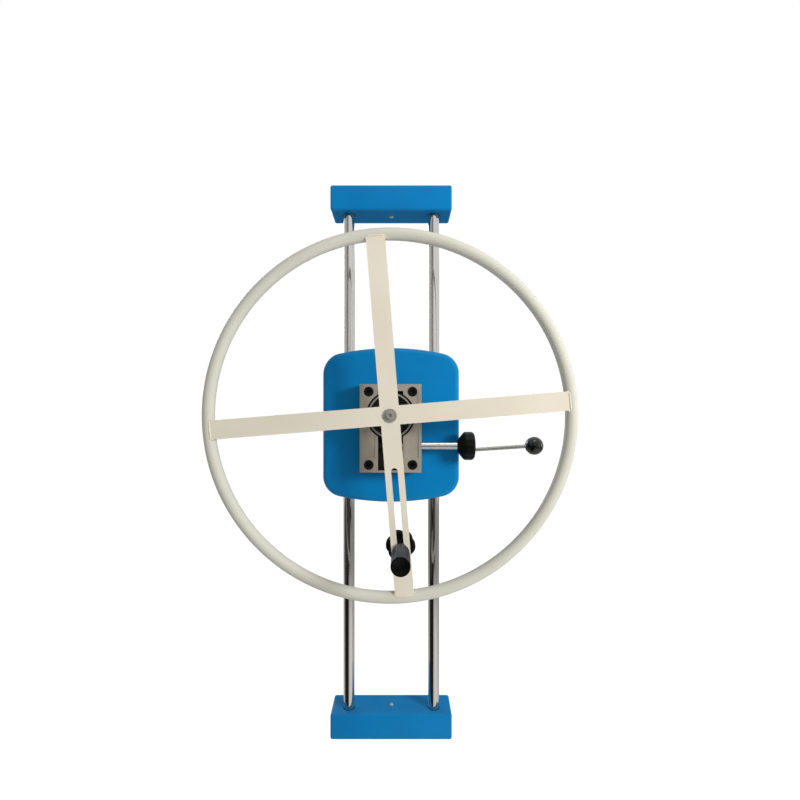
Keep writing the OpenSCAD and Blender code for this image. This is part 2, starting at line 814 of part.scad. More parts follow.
module band_anchor_screw() color("dimgray") at_damper() difference() {
    union() {
        x_bar(anchor_d / 2, -housing_w / 2 + anchor_head_t, -ear_x + anchor_d * 0.7);
        x_bar(anchor_d * 0.75, -housing_w / 2 + 1, -housing_w / 2 + 1 + anchor_head_t);
    }
    translate([-housing_w / 2, 0, 0]) rotate([0, 90, 0])
        cylinder(d = anchor_d * 0.9, h = anchor_head_t * 0.6, $fn = 6);
}

module band_anchor_sleeve() color("silver") at_damper() difference() {
    x_bar(anchor_d * 0.8, -recess_w / 2, -ear_x - ear_t);
    x_bar(anchor_d / 2 + seat_gap, -recess_w / 2 - over, -ear_x);
}

module band_anchor_nut() color("silver") at_damper() difference() {
    translate([-ear_x, 0, 0]) rotate([0, 90, 0])
        cylinder(d = anchor_d * 1.7 / cos(30), h = anchor_d * 0.6, $fn = 6);
    x_bar(anchor_d / 2 + seat_gap, -ear_x - over, 0);
}

module damping_thread_bush() color("goldenrod") at_damper() difference() {
    x_bar(thread_bush_r, thread_bush_x, housing_w / 2);
    x_bar(damp_thread_d / 2 + run_gap, thread_bush_x - over, housing_w / 2 + over);
}

// Height clamp, parts on the carriage

module rail_clamp_block() color("gray") difference() {
    translate([rail_x, 0, clamp_z]) {
        y_box(2 * clamp_half, clamp_h, rail_off - clamp_half, rail_off + clamp_half);
        translate([-clamp_half / 2, 0, 0])
            y_box(clamp_half, clamp_h, rail_off, plate_back);
        translate([0, -rail_off - ear_face, -clamp_h / 2])
            cube([clamp_ear_end - rail_x, 2 * ear_face, clamp_h]);
    }
    translate([rail_x, -rail_off, clamp_z])
        z_bar(bush_in, -clamp_h / 2 - over, clamp_h / 2 + over);
    translate([rail_x, -rail_off - clamp_slit / 2, clamp_z - clamp_h / 2 - over])
        cube([clamp_ear_end, clamp_slit, clamp_h + 2 * over]);
    at_clamp() y_bar(clamp_screw_d / 2 + run_gap, rail_off - clamp_half - over,
        rail_off + clamp_half);
    at_plate_screws() y_bar(plate_screw_d / 2 + seat_gap, plate_back - plate_screw_bite - 1,
        plate_back + over);
}

module clamp_nut() color("silver") at_clamp() difference() {
    y_hex(clamp_screw_d * 1.7, rail_off - ear_face - clamp_nut_t, rail_off - ear_face);
    y_bar(clamp_screw_d / 2 + run_gap, 0, rail_off);
}

// Wheel

// Ring of the rim tube, with a given tube radius
module rim_ring(tube_r) {
    translate([0, -rim_dist, 0]) rotate([90, 0, 0]) rotate_extrude()
        translate([rim_r, 0]) circle(r = tube_r);
}

module wheel_rim() color("antiquewhite") at_wheel() difference() {
    rim_ring(rim_tube_d / 2);
    rim_ring(rim_tube_d / 2 - rim_wall);
    translate([0, -rim_dist, -rim_r]) z_bar(vent_d / 2, 0, rim_tube_d);
}

// Flat bar from one height to another, coped to fit the rim tube
module spoke_bar(from, to) {
    difference() {
        translate([0, 0, (from + to) / 2])
            y_box(spoke_w, to - from, spoke_back, spoke_front);
        rim_ring(rim_tube_d / 2 + weld_gap);
    }
}

module vertical_spoke() color("antiquewhite") at_wheel() difference() {
    spoke_bar(-rim_r, rim_r);
    y_bar(hub_bolt_d / 2 + face_gap, spoke_back - over, spoke_front + over);
    for (end = [slot_start + slot_w / 2, slot_end - slot_w / 2]) translate([0, 0, -end])
        y_bar(slot_w / 2, spoke_back - over, spoke_front + over);
    translate([0, 0, -(slot_start + slot_end) / 2])
        y_box(slot_w, slot_end - slot_start - slot_w, spoke_back - over, spoke_front + over);
}

module left_spoke() color("antiquewhite") at_wheel() rotate([0, -90, 0])
    spoke_bar(spoke_w / 2, rim_r);

module right_spoke() color("antiquewhite") at_wheel() rotate([0, 90, 0])
    spoke_bar(spoke_w / 2, rim_r);

module key_seat() {
    translate([0, 0, key_low + key_w / 2])
        y_box(key_w + 2 * seat_gap, key_w + 2 * seat_gap, key_back, key_back + key_len);
}

module hub_boss() color("antiquewhite") at_wheel() difference() {
    y_tube(boss_d / 2, spindle_d / 2 + seat_gap, boss_back, spoke_back);
    key_seat();
}

module spindle() color("silver") at_wheel() difference() {
    y_bar(spindle_d / 2, spindle_back, spindle_front);
    y_tube(spindle_d, spindle_d / 2 - 0.6, bearing_rear - circlip_t - seat_gap, bearing_rear);
    y_bar(hub_bolt_d / 2 + seat_gap, spindle_front - 4 * hub_bolt_d, spindle_front + over);
    key_seat();
}

module spindle_key() color("gray") at_wheel() translate([0, 0, key_low + key_w / 2])
    y_box(key_w, key_w, key_back + seat_gap, key_back + key_len - seat_gap);

module spindle_circlip() color("dimgray") at_wheel() difference() {
    y_tube(spindle_d / 2 + 2.2, spindle_d / 2 - 0.6 + seat_gap, bearing_rear - circlip_t,
        bearing_rear);
    translate([0, 0, -spindle_d / 2]) y_box(spindle_d / 3, spindle_d / 2, 0, bearing_rear + over);
}

module brake_drum() color("silver") at_wheel() difference() {
    union() {
        y_bar(drum_neck_r, bearing_front, drum_back + over);
        y_bar(drum_hub_r, drum_back, boss_back);
        y_bar(drum_r, drum_back, drum_back + drum_web_t);
        y_tube(drum_r, drum_r - drum_t, drum_back, drum_front);
    }
    y_bar(spindle_d / 2 + seat_gap, bearing_front - over, boss_back + over);
    key_seat();
}

module hub_washer() color("silver") at_wheel()
    y_tube(hub_washer_d / 2, hub_bolt_d / 2 + face_gap, spoke_front, spoke_front + hub_washer_t);

module hub_bolt() color("silver") at_wheel()
    socket_screw(hub_bolt_d, hub_bolt_d * 1.75, hub_bolt_head_t,
        spindle_front - 3 * hub_bolt_d, spoke_front + hub_washer_t);

// Handle

module handle_stud() color("dimgray") at_handle() difference() {
    union() {
        y_bar(stud_d / 2, stud_back, neck_back + over);
        y_bar(neck_d / 2, neck_back, grip_back - face_gap);
        y_bar(axle_d / 2, grip_back - over, axle_front);
    }
    y_bar(grip_screw_d / 2 + seat_gap, axle_front - 4 * grip_screw_d, axle_front + over);
}

module stud_collar() color("dimgray") at_handle()
    y_tube(collar_d / 2, stud_d / 2 + seat_gap, collar_back, neck_back);

module grip_washer() color("silver") at_handle()
    y_tube(grip_pocket_r - 1, grip_screw_d / 2 + face_gap, axle_front, axle_front + grip_washer_t);

module grip_screw() color("dimgray") at_handle()
    socket_screw(grip_screw_d, grip_screw_d * 1.75, grip_screw_head_t,
        axle_front - 3 * grip_screw_d, axle_front + grip_washer_t);

module handle_grip() color("black") at_handle() difference() {
    y_bar(grip_d / 2, grip_back, cap_back);
    y_bar(axle_d / 2 + run_gap + grip_bush_t + seat_gap, grip_back - over, cap_back);
    y_bar(grip_pocket_r, cap_back - grip_pocket_depth, cap_back + over);
}

module grip_bush() color("ivory") at_handle()
    y_tube(axle_d / 2 + run_gap + grip_bush_t, axle_d / 2 + run_gap,
        grip_back, cap_back - grip_pocket_depth);

module grip_end_cap() color("black") at_handle() {
    y_bar(grip_d / 2, cap_back, grip_front);
    y_bar(grip_pocket_r - seat_gap, cap_back - 1.5, cap_back + over);
}

module star_knob_washer() color("silver") at_handle()
    y_tube(stud_d, stud_d / 2 + run_gap, star_front, star_front + star_washer_t);

module star_knob() color("black") at_handle() difference() {
    y_plate(star_back, star_front) {
        circle(r = star_d / 2 - lobe_r * 1.1);
        for (i = [1 : star_lobes]) rotate(star_turn + i * 360 / star_lobes)
            translate([star_d / 2 - lobe_r, 0]) circle(r = lobe_r);
    }
    y_bar(stud_d / 2 + run_gap + insert_wall + seat_gap, star_back + insert_floor,
        star_front + over);
}

module star_knob_insert() color("goldenrod") at_handle()
    y_tube(stud_d / 2 + run_gap + insert_wall, stud_d / 2 + run_gap,
        star_back + insert_floor, star_front);

// Damping screw

module pressure_pad() color("silver") at_damper() difference() {
    x_bar(pad_d / 2, pad_x, pad_x + pad_t);
    x_bar(damp_neck_r + run_gap, pad_x + pad_pocket, pad_x + pad_t + over);
}

module damping_screw() color("gainsboro") at_damper() {
    x_bar(damp_neck_r, pad_x + pad_pocket + run_gap, pad_x + pad_t + over);
    x_bar(damp_thread_d / 2, pad_x + pad_t + run_gap, damp_rod_x + over);
    x_bar(damp_rod_d / 2, damp_rod_x, damp_knob_x + damp_rod_in);
}

module damping_knob() color("black") at_damper() difference() {
    translate([damp_knob_x, 0, 0]) rotate([0, 90, 0]) rotate_extrude() polygon([
        [0, 0],
        [damp_knob_nose_d / 2, 0],
        [damp_knob_d / 2 - damp_shoulder, damp_taper_len - damp_shoulder],
        [damp_knob_d / 2 - damp_shoulder / 4, damp_taper_len - damp_shoulder / 4],
        [damp_knob_d / 2, damp_taper_len + damp_shoulder / 2],
        [damp_knob_d / 2, damp_knob_len - damp_end],
        [damp_knob_d / 2 - damp_end / 4, damp_knob_len - damp_end / 2],
        [damp_knob_d / 2 - damp_end / 2, damp_knob_len - damp_end / 5],
        [damp_knob_d / 2 - damp_end, damp_knob_len],
        [0, damp_knob_len]
    ]);
    x_bar(damp_rod_d / 2 + seat_gap, damp_knob_x - over, damp_knob_x + damp_rod_in);
}

// Height clamp lever

module clamp_screw() color("dimgray") at_clamp()
    y_bar(clamp_screw_d / 2, clamp_screw_back, lever_front);

module lever_hub() color("dimgray") difference() {
    at_clamp() y_tube(lever_hub_d / 2, clamp_screw_d / 2 + seat_gap, lever_back, lever_front);
    at_lever() x_bar(lever_rod_d / 2 + seat_gap, clamp_screw_d / 2 + 1, lever_hub_d);
}

module lever_rod() color("silver") at_lever()
    x_bar(lever_rod_d / 2, clamp_screw_d / 2 + 1, lever_len - lever_ball_d / 6);

module lever_ball() color("black") at_lever() difference() {
    translate([lever_len, 0, 0]) sphere(r = lever_ball_d / 2);
    x_bar(lever_rod_d / 2 + seat_gap, lever_len - lever_ball_d, lever_len - lever_ball_d / 6);
}

top_wall_bracket();
bottom_wall_bracket();
rail_sockets();
socket_grub_screws();
left_rail();
right_rail();
top_end_cover();
bottom_end_cover();
end_cover_screws();
carriage_plate();
guide_blocks();
slide_bushes();
plate_screws();
carriage_cover();
brake_housing();
housing_screws();
bearing_housing();
bearing_housing_screws();
bearing_outer_races();
brake_band();
brake_lining();
band_anchor_screw();
band_anchor_sleeve();
band_anchor_nut();
rail_clamp_block();
clamp_nut();
damping_thread_bush();
wheel_rim();
vertical_spoke();
left_spoke();
right_spoke();
hub_boss();
spindle();
spindle_key();
brake_drum();
hub_bolt();
hub_washer();
bearing_inner_races();
bearing_balls();
bearing_spacer();
spindle_circlip();
handle_stud();
stud_collar();
grip_washer();
grip_screw();
handle_grip();
grip_bush();
grip_end_cap();
star_knob_washer();
star_knob();
star_knob_insert();
pressure_pad();
damping_screw();
damping_knob();
clamp_screw();
lever_hub();
lever_rod();
lever_ball();
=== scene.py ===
"""Looks of the wall shoulder wheel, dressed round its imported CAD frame.

Lengths are metres in the frame's own axes: +X to the user's right, +Y into the wall, +Z up.
"""

import json
import math

import bmesh
import bpy
from mathutils import Matrix, Vector

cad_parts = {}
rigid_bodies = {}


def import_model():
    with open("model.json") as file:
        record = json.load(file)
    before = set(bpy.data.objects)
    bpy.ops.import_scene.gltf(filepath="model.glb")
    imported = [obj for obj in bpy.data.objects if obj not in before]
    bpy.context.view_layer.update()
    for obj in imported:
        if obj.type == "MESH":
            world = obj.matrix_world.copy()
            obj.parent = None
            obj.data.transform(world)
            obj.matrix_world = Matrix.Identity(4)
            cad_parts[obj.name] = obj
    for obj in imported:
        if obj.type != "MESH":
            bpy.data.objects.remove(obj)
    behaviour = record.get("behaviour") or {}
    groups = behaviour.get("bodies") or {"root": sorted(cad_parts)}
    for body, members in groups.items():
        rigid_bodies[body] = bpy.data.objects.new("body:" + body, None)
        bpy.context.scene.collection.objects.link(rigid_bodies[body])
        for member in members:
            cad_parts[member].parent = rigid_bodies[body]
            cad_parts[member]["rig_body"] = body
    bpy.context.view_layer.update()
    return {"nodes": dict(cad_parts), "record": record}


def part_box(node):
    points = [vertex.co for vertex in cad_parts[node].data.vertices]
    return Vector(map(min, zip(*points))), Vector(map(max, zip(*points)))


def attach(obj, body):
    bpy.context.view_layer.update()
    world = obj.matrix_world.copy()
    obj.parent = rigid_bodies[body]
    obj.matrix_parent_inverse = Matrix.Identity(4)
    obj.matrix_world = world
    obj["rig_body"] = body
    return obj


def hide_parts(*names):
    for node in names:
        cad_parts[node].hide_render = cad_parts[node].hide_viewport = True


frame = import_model()

MM = 0.001
SLOT_OF = {part["node"]: part["material_slot"] for part in frame["record"]["subparts"]}
scene = bpy.context.scene
scene.view_settings.view_transform = "Standard"


# Node trees


def add(tree, kind, inputs=None, **settings):
    """Adds a shader node, sets its options and feeds its inputs from sockets or plain values."""
    node = tree.nodes.new("ShaderNode" + kind)
    for option, value in settings.items():
        setattr(node, option, value)
    for socket, value in (inputs or {}).items():
        feed(tree, node.inputs[socket], value)
    return node


def feed(tree, socket, value):
    """Links an output socket to an input, or sets a plain value on it."""
    if isinstance(value, bpy.types.NodeSocket):
        tree.links.new(value, socket)
    else:
        socket.default_value = value


def blend_colour(tree, factor, first, second):
    """Mixes two colours. A Mix node keeps its colour sockets at these places."""
    node = tree.nodes.new("ShaderNodeMix")
    node.data_type = "RGBA"
    for place, value in ((0, factor), (6, first), (7, second)):
        feed(tree, node.inputs[place], value)
    return node.outputs[2]


def spread(tree, value, low, high, to_low=0.0, to_high=1.0):
    """Maps low..high of a value to a new range, held at both ends."""
    ranged = {0: value, 1: low, 2: high, 3: to_low, 4: to_high}
    return add(tree, "MapRange", ranged).outputs[0]


def reckon(tree, operation, first, second):
    """Reckons with two values, as the Math node's operation says."""
    return add(tree, "Math", {0: first, 1: second}, operation=operation).outputs[0]


def product(tree, *values):
    """Multiplies two or more values."""
    whole = values[0]
    for value in values[1:]:
        whole = reckon(tree, "MULTIPLY", whole, value)
    return whole


def mixture(tree, first, second, share):
    """A mixture of two values with the given share of the first."""
    return reckon(tree, "ADD", product(tree, first, share), product(tree, second, 1 - share))


def effect(name, inputs, outputs):
    """An empty node group with named sockets, its input sockets and its output sockets."""
    tree = bpy.data.node_groups.new(name, "ShaderNodeTree")
    for label, kind, value in inputs:
        socket = tree.interface.new_socket(label, in_out="INPUT", socket_type="NodeSocket" + kind)
        socket.default_value = value
    for label in outputs:
        tree.interface.new_socket(label, in_out="OUTPUT", socket_type="NodeSocketFloat")
    given = tree.nodes.new("NodeGroupInput").outputs
    result = tree.nodes.new("NodeGroupOutput").inputs
    return tree, given, result


def on_object(tree):
    """Object coordinates, which stay with a piece as it moves."""
    return add(tree, "TexCoord").outputs["Object"]


def off_axis(tree, place, centre):
    """Distance from the axis along Y through a centre."""
    offset = add(tree, "VectorMath", {0: place, 1: centre}, operation="SUBTRACT").outputs[0]
    across = add(tree, "VectorMath", {0: offset, 1: (1.0, 0.0, 1.0)}, operation="MULTIPLY").outputs[0]
    return add(tree, "VectorMath", {0: across}, operation="LENGTH").outputs["Value"]


def noise(tree, place, scale, detail=3.0, roughness=0.55):
    """Smooth noise with values from 0 to 1, most of them near 0.5."""
    inputs = {"Vector": place, "Scale": scale, "Detail": detail, "Roughness": roughness}
    return add(tree, "TexNoise", inputs).outputs[0]


# Effects that several finishes share


def build_moulded_grain():
    """Fine even grain of moulded plastic or powder coat, with broad soft patches."""
    tree, given, result = effect(
        "moulded_grain", [("Scale", "Float", 900.0), ("Patch Scale", "Float", 14.0)],
        ["Height", "Patches"])
    place = on_object(tree)
    feed(tree, result["Height"], noise(tree, place, given["Scale"], 2.0))
    feed(tree, result["Patches"], noise(tree, place, given["Patch Scale"], 1.5, 0.4))


def build_brushed_lines():
    """Fine lines along one direction, as drawing, plating or brushing leaves them."""
    tree, given, result = effect(
        "brushed_lines", [("Stretch", "Vector", (900.0, 900.0, 20.0)), ("Patch Scale", "Float", 9.0)],
        ["Height", "Patches"])
    place = on_object(tree)
    drawn = add(tree, "Mapping", {"Vector": place, "Scale": given["Stretch"]}).outputs[0]
    lines = noise(tree, drawn, 1.0, 4.0, 0.6)
    patches = noise(tree, place, given["Patch Scale"], 4.0)
    feed(tree, result["Height"], lines)
    feed(tree, result["Patches"], mixture(tree, lines, patches, 0.6))


def build_turned_rings():
    """Rings round an axis along Y, as a lathe leaves them."""
    tree, given, result = effect(
        "turned_rings", [("Centre", "Vector", (0.0, 0.0, 0.0)), ("Scale", "Float", 1600.0)],
        ["Height", "Patches"])
    place = on_object(tree)
    radius = off_axis(tree, place, given["Centre"])
    along = add(tree, "CombineXYZ", {"X": product(tree, radius, given["Scale"])}).outputs[0]
    rings = noise(tree, along, 1.0, 3.0, 0.6)
    patches = noise(tree, place, 30.0, 4.0)
    feed(tree, result["Height"], rings)
    feed(tree, result["Patches"], mixture(tree, rings, patches, 0.7))


def build_woven_lining():
    """Crossed strands of woven friction lining."""
    tree, given, result = effect(
        "woven_lining", [("Scale", "Float", 900.0), ("Patch Scale", "Float", 40.0)],
        ["Height", "Patches"])
    place = on_object(tree)
    strands = [
        add(tree, "TexWave", {"Vector": place, "Scale": given["Scale"], "Distortion": 1.5, "Detail": 1.0},
            bands_direction=direction).outputs[1]
        for direction in ("X", "Y")
    ]
    feed(tree, result["Height"], reckon(tree, "MAXIMUM", *strands))
    feed(tree, result["Patches"], noise(tree, place, given["Patch Scale"], 5.0))


def build_edge_wear():
    """Mask of rubbed outer edges, broken up so that no edge is worn evenly."""
    tree, given, result = effect(
        "edge_wear", [("Radius", "Float", 0.001), ("Amount", "Float", 0.5)], ["Worn"])
    rounded = add(tree, "Bevel", {"Radius": given["Radius"]}, samples=4).outputs[0]
    straight = add(tree, "NewGeometry").outputs["Normal"]
    facing = add(tree, "VectorMath", {0: rounded, 1: straight}, operation="DOT_PRODUCT")
    edge = spread(tree, facing.outputs["Value"], 0.97, 0.80)
    breakup = spread(tree, noise(tree, on_object(tree), 130.0, 6.0, 0.7), 0.45, 0.62)
    feed(tree, result["Worn"], product(tree, edge, breakup, given["Amount"]))


def build_fine_scratches():
    """Mask of short fine scratches in two directions, gathered in a few places."""
    tree, given, result = effect(
        "fine_scratches", [("Scale", "Float", 1.0), ("Amount", "Float", 0.5)], ["Scratched"])
    place = on_object(tree)
    marks = []
    for turn, stretch in ((0.5, (26.0, 26.0, 900.0)), (-0.9, (900.0, 40.0, 34.0))):
        mapped = {"Vector": place, "Rotation": (0.2, turn, 0.1), "Scale": stretch}
        lines = noise(tree, add(tree, "Mapping", mapped).outputs[0], given["Scale"], 2.0)
        marks.append(spread(tree, lines, 0.68, 0.74))
    gathered = spread(tree, noise(tree, place, 11.0, 3.0), 0.5, 0.66)
    lines = reckon(tree, "MAXIMUM", *marks)
    feed(tree, result["Scratched"], product(tree, lines, gathered, given["Amount"]))


def build_settled_dust():
    """Mask of faint dust on what faces up."""
    tree, given, result = effect("settled_dust", [("Amount", "Float", 0.1)], ["Dusty"])
    up = add(tree, "SeparateXYZ", {0: add(tree, "NewGeometry").outputs["Normal"]}).outputs["Z"]
    flat = spread(tree, up, 0.35, 1.0)
    patchy = spread(tree, noise(tree, on_object(tree), 60.0, 6.0, 0.7), 0.35, 0.7)
    feed(tree, result["Dusty"], product(tree, flat, patchy, given["Amount"]))


MASK_EDGE = 0.2 * MM  # width over which a mask of the inside fades


def build_inside_box():
    """Mask of what lies between two corners."""
    tree, given, result = effect(
        "inside_box", [("Low", "Vector", (0, 0, 0)), ("High", "Vector", (0, 0, 0))], ["Inside"])
    place = on_object(tree)
    mask = 1.0
    for first, second in ((place, given["Low"]), (given["High"], place)):
        apart = add(tree, "VectorMath", {0: first, 1: second}, operation="SUBTRACT").outputs[0]
        for side in add(tree, "SeparateXYZ", {0: apart}).outputs:
            mask = product(tree, mask, spread(tree, side, 0.0, MASK_EDGE))
    feed(tree, result["Inside"], mask)


def build_inside_bore():
    """Mask of what lies within a radius of an axis along Y and behind a depth."""
    tree, given, result = effect(
        "inside_bore", [("Centre", "Vector", (0, 0, 0)), ("Radius", "Float", 0.05), ("Front", "Float", 0.0)],
        ["Inside"])
    place = on_object(tree)
    radius = off_axis(tree, place, given["Centre"])
    within = spread(tree, reckon(tree, "SUBTRACT", given["Radius"], radius), 0.0, MASK_EDGE)
    depth = add(tree, "SeparateXYZ", {0: place}).outputs["Y"]
    behind = spread(tree, reckon(tree, "SUBTRACT", depth, given["Front"]), 0.0, MASK_EDGE)
    feed(tree, result["Inside"], product(tree, within, behind))


for build in (build_moulded_grain, build_brushed_lines, build_turned_rings, build_woven_lining,
              build_edge_wear, build_fine_scratches, build_settled_dust, build_inside_box,
              build_inside_bore):
    build()


def place_effect(tree, name, **values):
    """Puts a shared effect into a material, with its own values, and gives its outputs."""
    node = tree.nodes.new("ShaderNodeGroup")
    node.node_tree = bpy.data.node_groups[name]
    for label, value in values.items():
        node.inputs[label.replace("_", " ")].default_value = value
    return node.outputs


DUST = (0.55, 0.53, 0.50, 1)
# Painted shade: black, in two tones, for recesses where shade falls
PAINTED_SHADE_BLACK = ((0.010, 0.008, 0.006, 1), (0.022, 0.017, 0.013, 1))
# What each of them adds to the roughness
DUST_DULLS, PAINTED_SHADE_DULLS, SCRATCHES_DULL = 0.5, 0.2, 0.2


def make_finish(name, colour, second, rough, grain, bump, metallic=0.0, specular=0.5, coat=0.0,
                wear=None, scratches=0.0, scratch_colour=None, dust=0.0, painted_shade=()):
    """One material: two close colours in patches, a grain that shapes gloss and relief, and its wear.

    rough is the roughness in its smoothest and roughest patches, grain the effect and its values,
    bump the height of the grain in metres, wear the worn colour, edge width and amount, and
    painted_shade the masks, each an effect and its values, of recesses coloured black as painted
    shade, where shade falls in them.
    """
    material = bpy.data.materials.new(name)
    material.use_nodes = True
    tree = material.node_tree
    shader = tree.nodes["Principled BSDF"]
    surface = place_effect(tree, grain[0], **grain[1])
    shade = blend_colour(tree, spread(tree, surface["Patches"], 0.35, 0.65), (*colour, 1), (*second, 1))
    gloss = spread(tree, surface["Patches"], 0.3, 0.7, *rough)
    if scratches:
        marks = place_effect(tree, "fine_scratches", Amount=scratches)["Scratched"]
        shade = blend_colour(tree, marks, shade, (*(scratch_colour or second), 1))
        gloss = reckon(tree, "ADD", gloss, product(tree, marks, SCRATCHES_DULL))
    if wear:
        worn = place_effect(tree, "edge_wear", Radius=wear[1], Amount=wear[2])["Worn"]
        shade = blend_colour(tree, worn, shade, (*wear[0], 1))
    if dust:
        dusty = place_effect(tree, "settled_dust", Amount=dust)["Dusty"]
        shade = blend_colour(tree, dusty, shade, DUST)
        gloss = reckon(tree, "ADD", gloss, product(tree, dusty, DUST_DULLS))
    # Painted shade: what the masks hold is coloured black, duller and not metallic, where shade falls inside
    for mask_name, values in painted_shade:
        mask = place_effect(tree, mask_name, **values)["Inside"]
        painted_dark = blend_colour(tree, surface["Patches"], *PAINTED_SHADE_BLACK)
        shade = blend_colour(tree, mask, shade, painted_dark)
        gloss = reckon(tree, "ADD", gloss, product(tree, mask, PAINTED_SHADE_DULLS))
        metallic = product(tree, metallic, reckon(tree, "SUBTRACT", 1.0, mask))
    relief = add(tree, "Bump", {"Height": surface["Height"], "Distance": bump, "Strength": 1.0})
    feed(tree, shader.inputs["Base Color"], shade)
    feed(tree, shader.inputs["Roughness"], gloss)
    feed(tree, shader.inputs["Normal"], relief.outputs[0])
    feed(tree, shader.inputs["Metallic"], metallic)
    shader.inputs["Specular IOR Level"].default_value = specular
    shader.inputs["Coat Weight"].default_value = coat
    shader.inputs["Coat Roughness"].default_value = 0.08
    return material


HUB_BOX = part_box("spindle")
HUB = Vector(((HUB_BOX[0].x + HUB_BOX[1].x) / 2, 0, (HUB_BOX[0].z + HUB_BOX[1].z) / 2))

MOULDED = ("moulded_grain", {"Scale": 1100.0, "Patch_Scale": 9.0})
COATED = ("moulded_grain", {"Scale": 650.0, "Patch_Scale": 7.0})
TUBE_COAT = ("moulded_grain", {"Scale": 260.0, "Patch_Scale": 7.0})
COARSE = ("moulded_grain", {"Scale": 700.0, "Patch_Scale": 25.0})
DRAWN = ("brushed_lines", {"Stretch": (700.0, 700.0, 6.0), "Patch_Scale": 4.0})
MILLED = ("brushed_lines", {"Stretch": (160.0, 160.0, 900.0), "Patch_Scale": 12.0})
TURNED = ("turned_rings", {"Centre": HUB, "Scale": 1500.0})
WOVEN = ("woven_lining", {"Scale": 350.0, "Patch_Scale": 40.0})

# Painted shade: the brake housing's recess and bore and the inside of the drum are coloured black where
# shade falls in them. The lip in front stays bare.
LIP_Y = -135.4 * MM
AHEAD_OF_DRUM_Y = -200 * MM
RECESS_HALF = 26.8 * MM
RECESS_SHADE = ("inside_box", {
    "Low": (-RECESS_HALF, LIP_Y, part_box("brake_housing")[0].z + 4 * MM),
    "High": (RECESS_HALF, 0.0, HUB.z + 51.6 * MM)})
BORE_SHADE = ("inside_bore", {"Centre": HUB, "Radius": 51.8 * MM, "Front": LIP_Y})
DRUM_SHADE = ("inside_bore", {"Centre": HUB, "Radius": 44.7 * MM, "Front": AHEAD_OF_DRUM_Y})

FINISH = {
    "blue_shell": make_finish(
        "blue_shell", (0.002, 0.205, 0.500), (0.002, 0.182, 0.460), (0.26, 0.38), MOULDED, 0.00003,
        specular=0.12, wear=((0.08, 0.40, 0.72), 0.0025, 0.18), scratches=0.10,
        scratch_colour=(0.04, 0.28, 0.62), dust=0.01),
    "ivory_paint": make_finish(
        "ivory_paint", (0.765, 0.710, 0.590), (0.725, 0.665, 0.545), (0.32, 0.44), COATED, 0.000015,
        specular=0.28, coat=0.05, wear=((0.45, 0.38, 0.29), 0.0012, 0.35), scratches=0.12,
        scratch_colour=(0.50, 0.45, 0.37), dust=0.06),
    "chrome": make_finish(
        "chrome", (0.60, 0.59, 0.56), (0.54, 0.53, 0.50), (0.05, 0.13), DRAWN, 0.0000015,
        metallic=1.0, scratches=0.3, scratch_colour=(0.36, 0.36, 0.35)),
    "housing_metal": make_finish(
        "housing_metal", (0.47, 0.425, 0.350), (0.40, 0.360, 0.292), (0.34, 0.50), MILLED, 0.00003,
        metallic=0.35, wear=((0.75, 0.73, 0.68), 0.0012, 0.6), scratches=0.35,
        scratch_colour=(0.68, 0.65, 0.59), dust=0.05, painted_shade=(RECESS_SHADE, BORE_SHADE)),
    "black_plastic": make_finish(
        "black_plastic", (0.0020, 0.0023, 0.0020), (0.0034, 0.0037, 0.0032), (0.34, 0.48), COARSE, 0.00004,
        specular=0.12, wear=((0.026, 0.026, 0.024), 0.0012, 0.4), scratches=0.15,
        scratch_colour=(0.022, 0.022, 0.021), dust=0.02),
    "black_steel": make_finish(
        "black_steel", (0.0075, 0.0068, 0.0062), (0.013, 0.012, 0.011), (0.32, 0.46), COARSE, 0.00003,
        metallic=0.3, specular=0.3, wear=((0.14, 0.13, 0.12), 0.0006, 0.4), dust=0.04),
    "plate_steel": make_finish(
        "plate_steel", (0.080, 0.085, 0.095), (0.060, 0.064, 0.072), (0.45, 0.60), COATED, 0.00008,
        wear=((0.36, 0.35, 0.34), 0.0012, 0.5), scratches=0.35,
        scratch_colour=(0.30, 0.30, 0.30), dust=0.15),
    "bright_steel": make_finish(
        "bright_steel", (0.60, 0.57, 0.51), (0.46, 0.44, 0.40), (0.22, 0.36), TURNED, 0.00002,
        metallic=0.6, wear=((0.78, 0.78, 0.77), 0.0008, 0.5), scratches=0.3,
        scratch_colour=(0.32, 0.31, 0.30), dust=0.04),
    "guide_metal": make_finish(
        "guide_metal", (0.62, 0.62, 0.61), (0.52, 0.52, 0.51), (0.28, 0.42), MILLED, 0.00002,
        metallic=1.0, wear=((0.80, 0.80, 0.80), 0.001, 0.4), scratches=0.3,
        scratch_colour=(0.40, 0.40, 0.40), dust=0.08),
    "nylon": make_finish(
        "nylon", (0.70, 0.68, 0.60), (0.64, 0.62, 0.54), (0.38, 0.5), MOULDED, 0.00003, dust=0.05),
    "brass": make_finish(
        "brass", (0.62, 0.42, 0.16), (0.48, 0.31, 0.11), (0.20, 0.34), TURNED, 0.00002,
        metallic=1.0, wear=((0.75, 0.56, 0.26), 0.0006, 0.5)),
    "lining": make_finish(
        "lining", (0.040, 0.030, 0.021), (0.022, 0.017, 0.013), (0.70, 0.85), WOVEN, 0.00025,
        specular=0.2, dust=0.02),
}
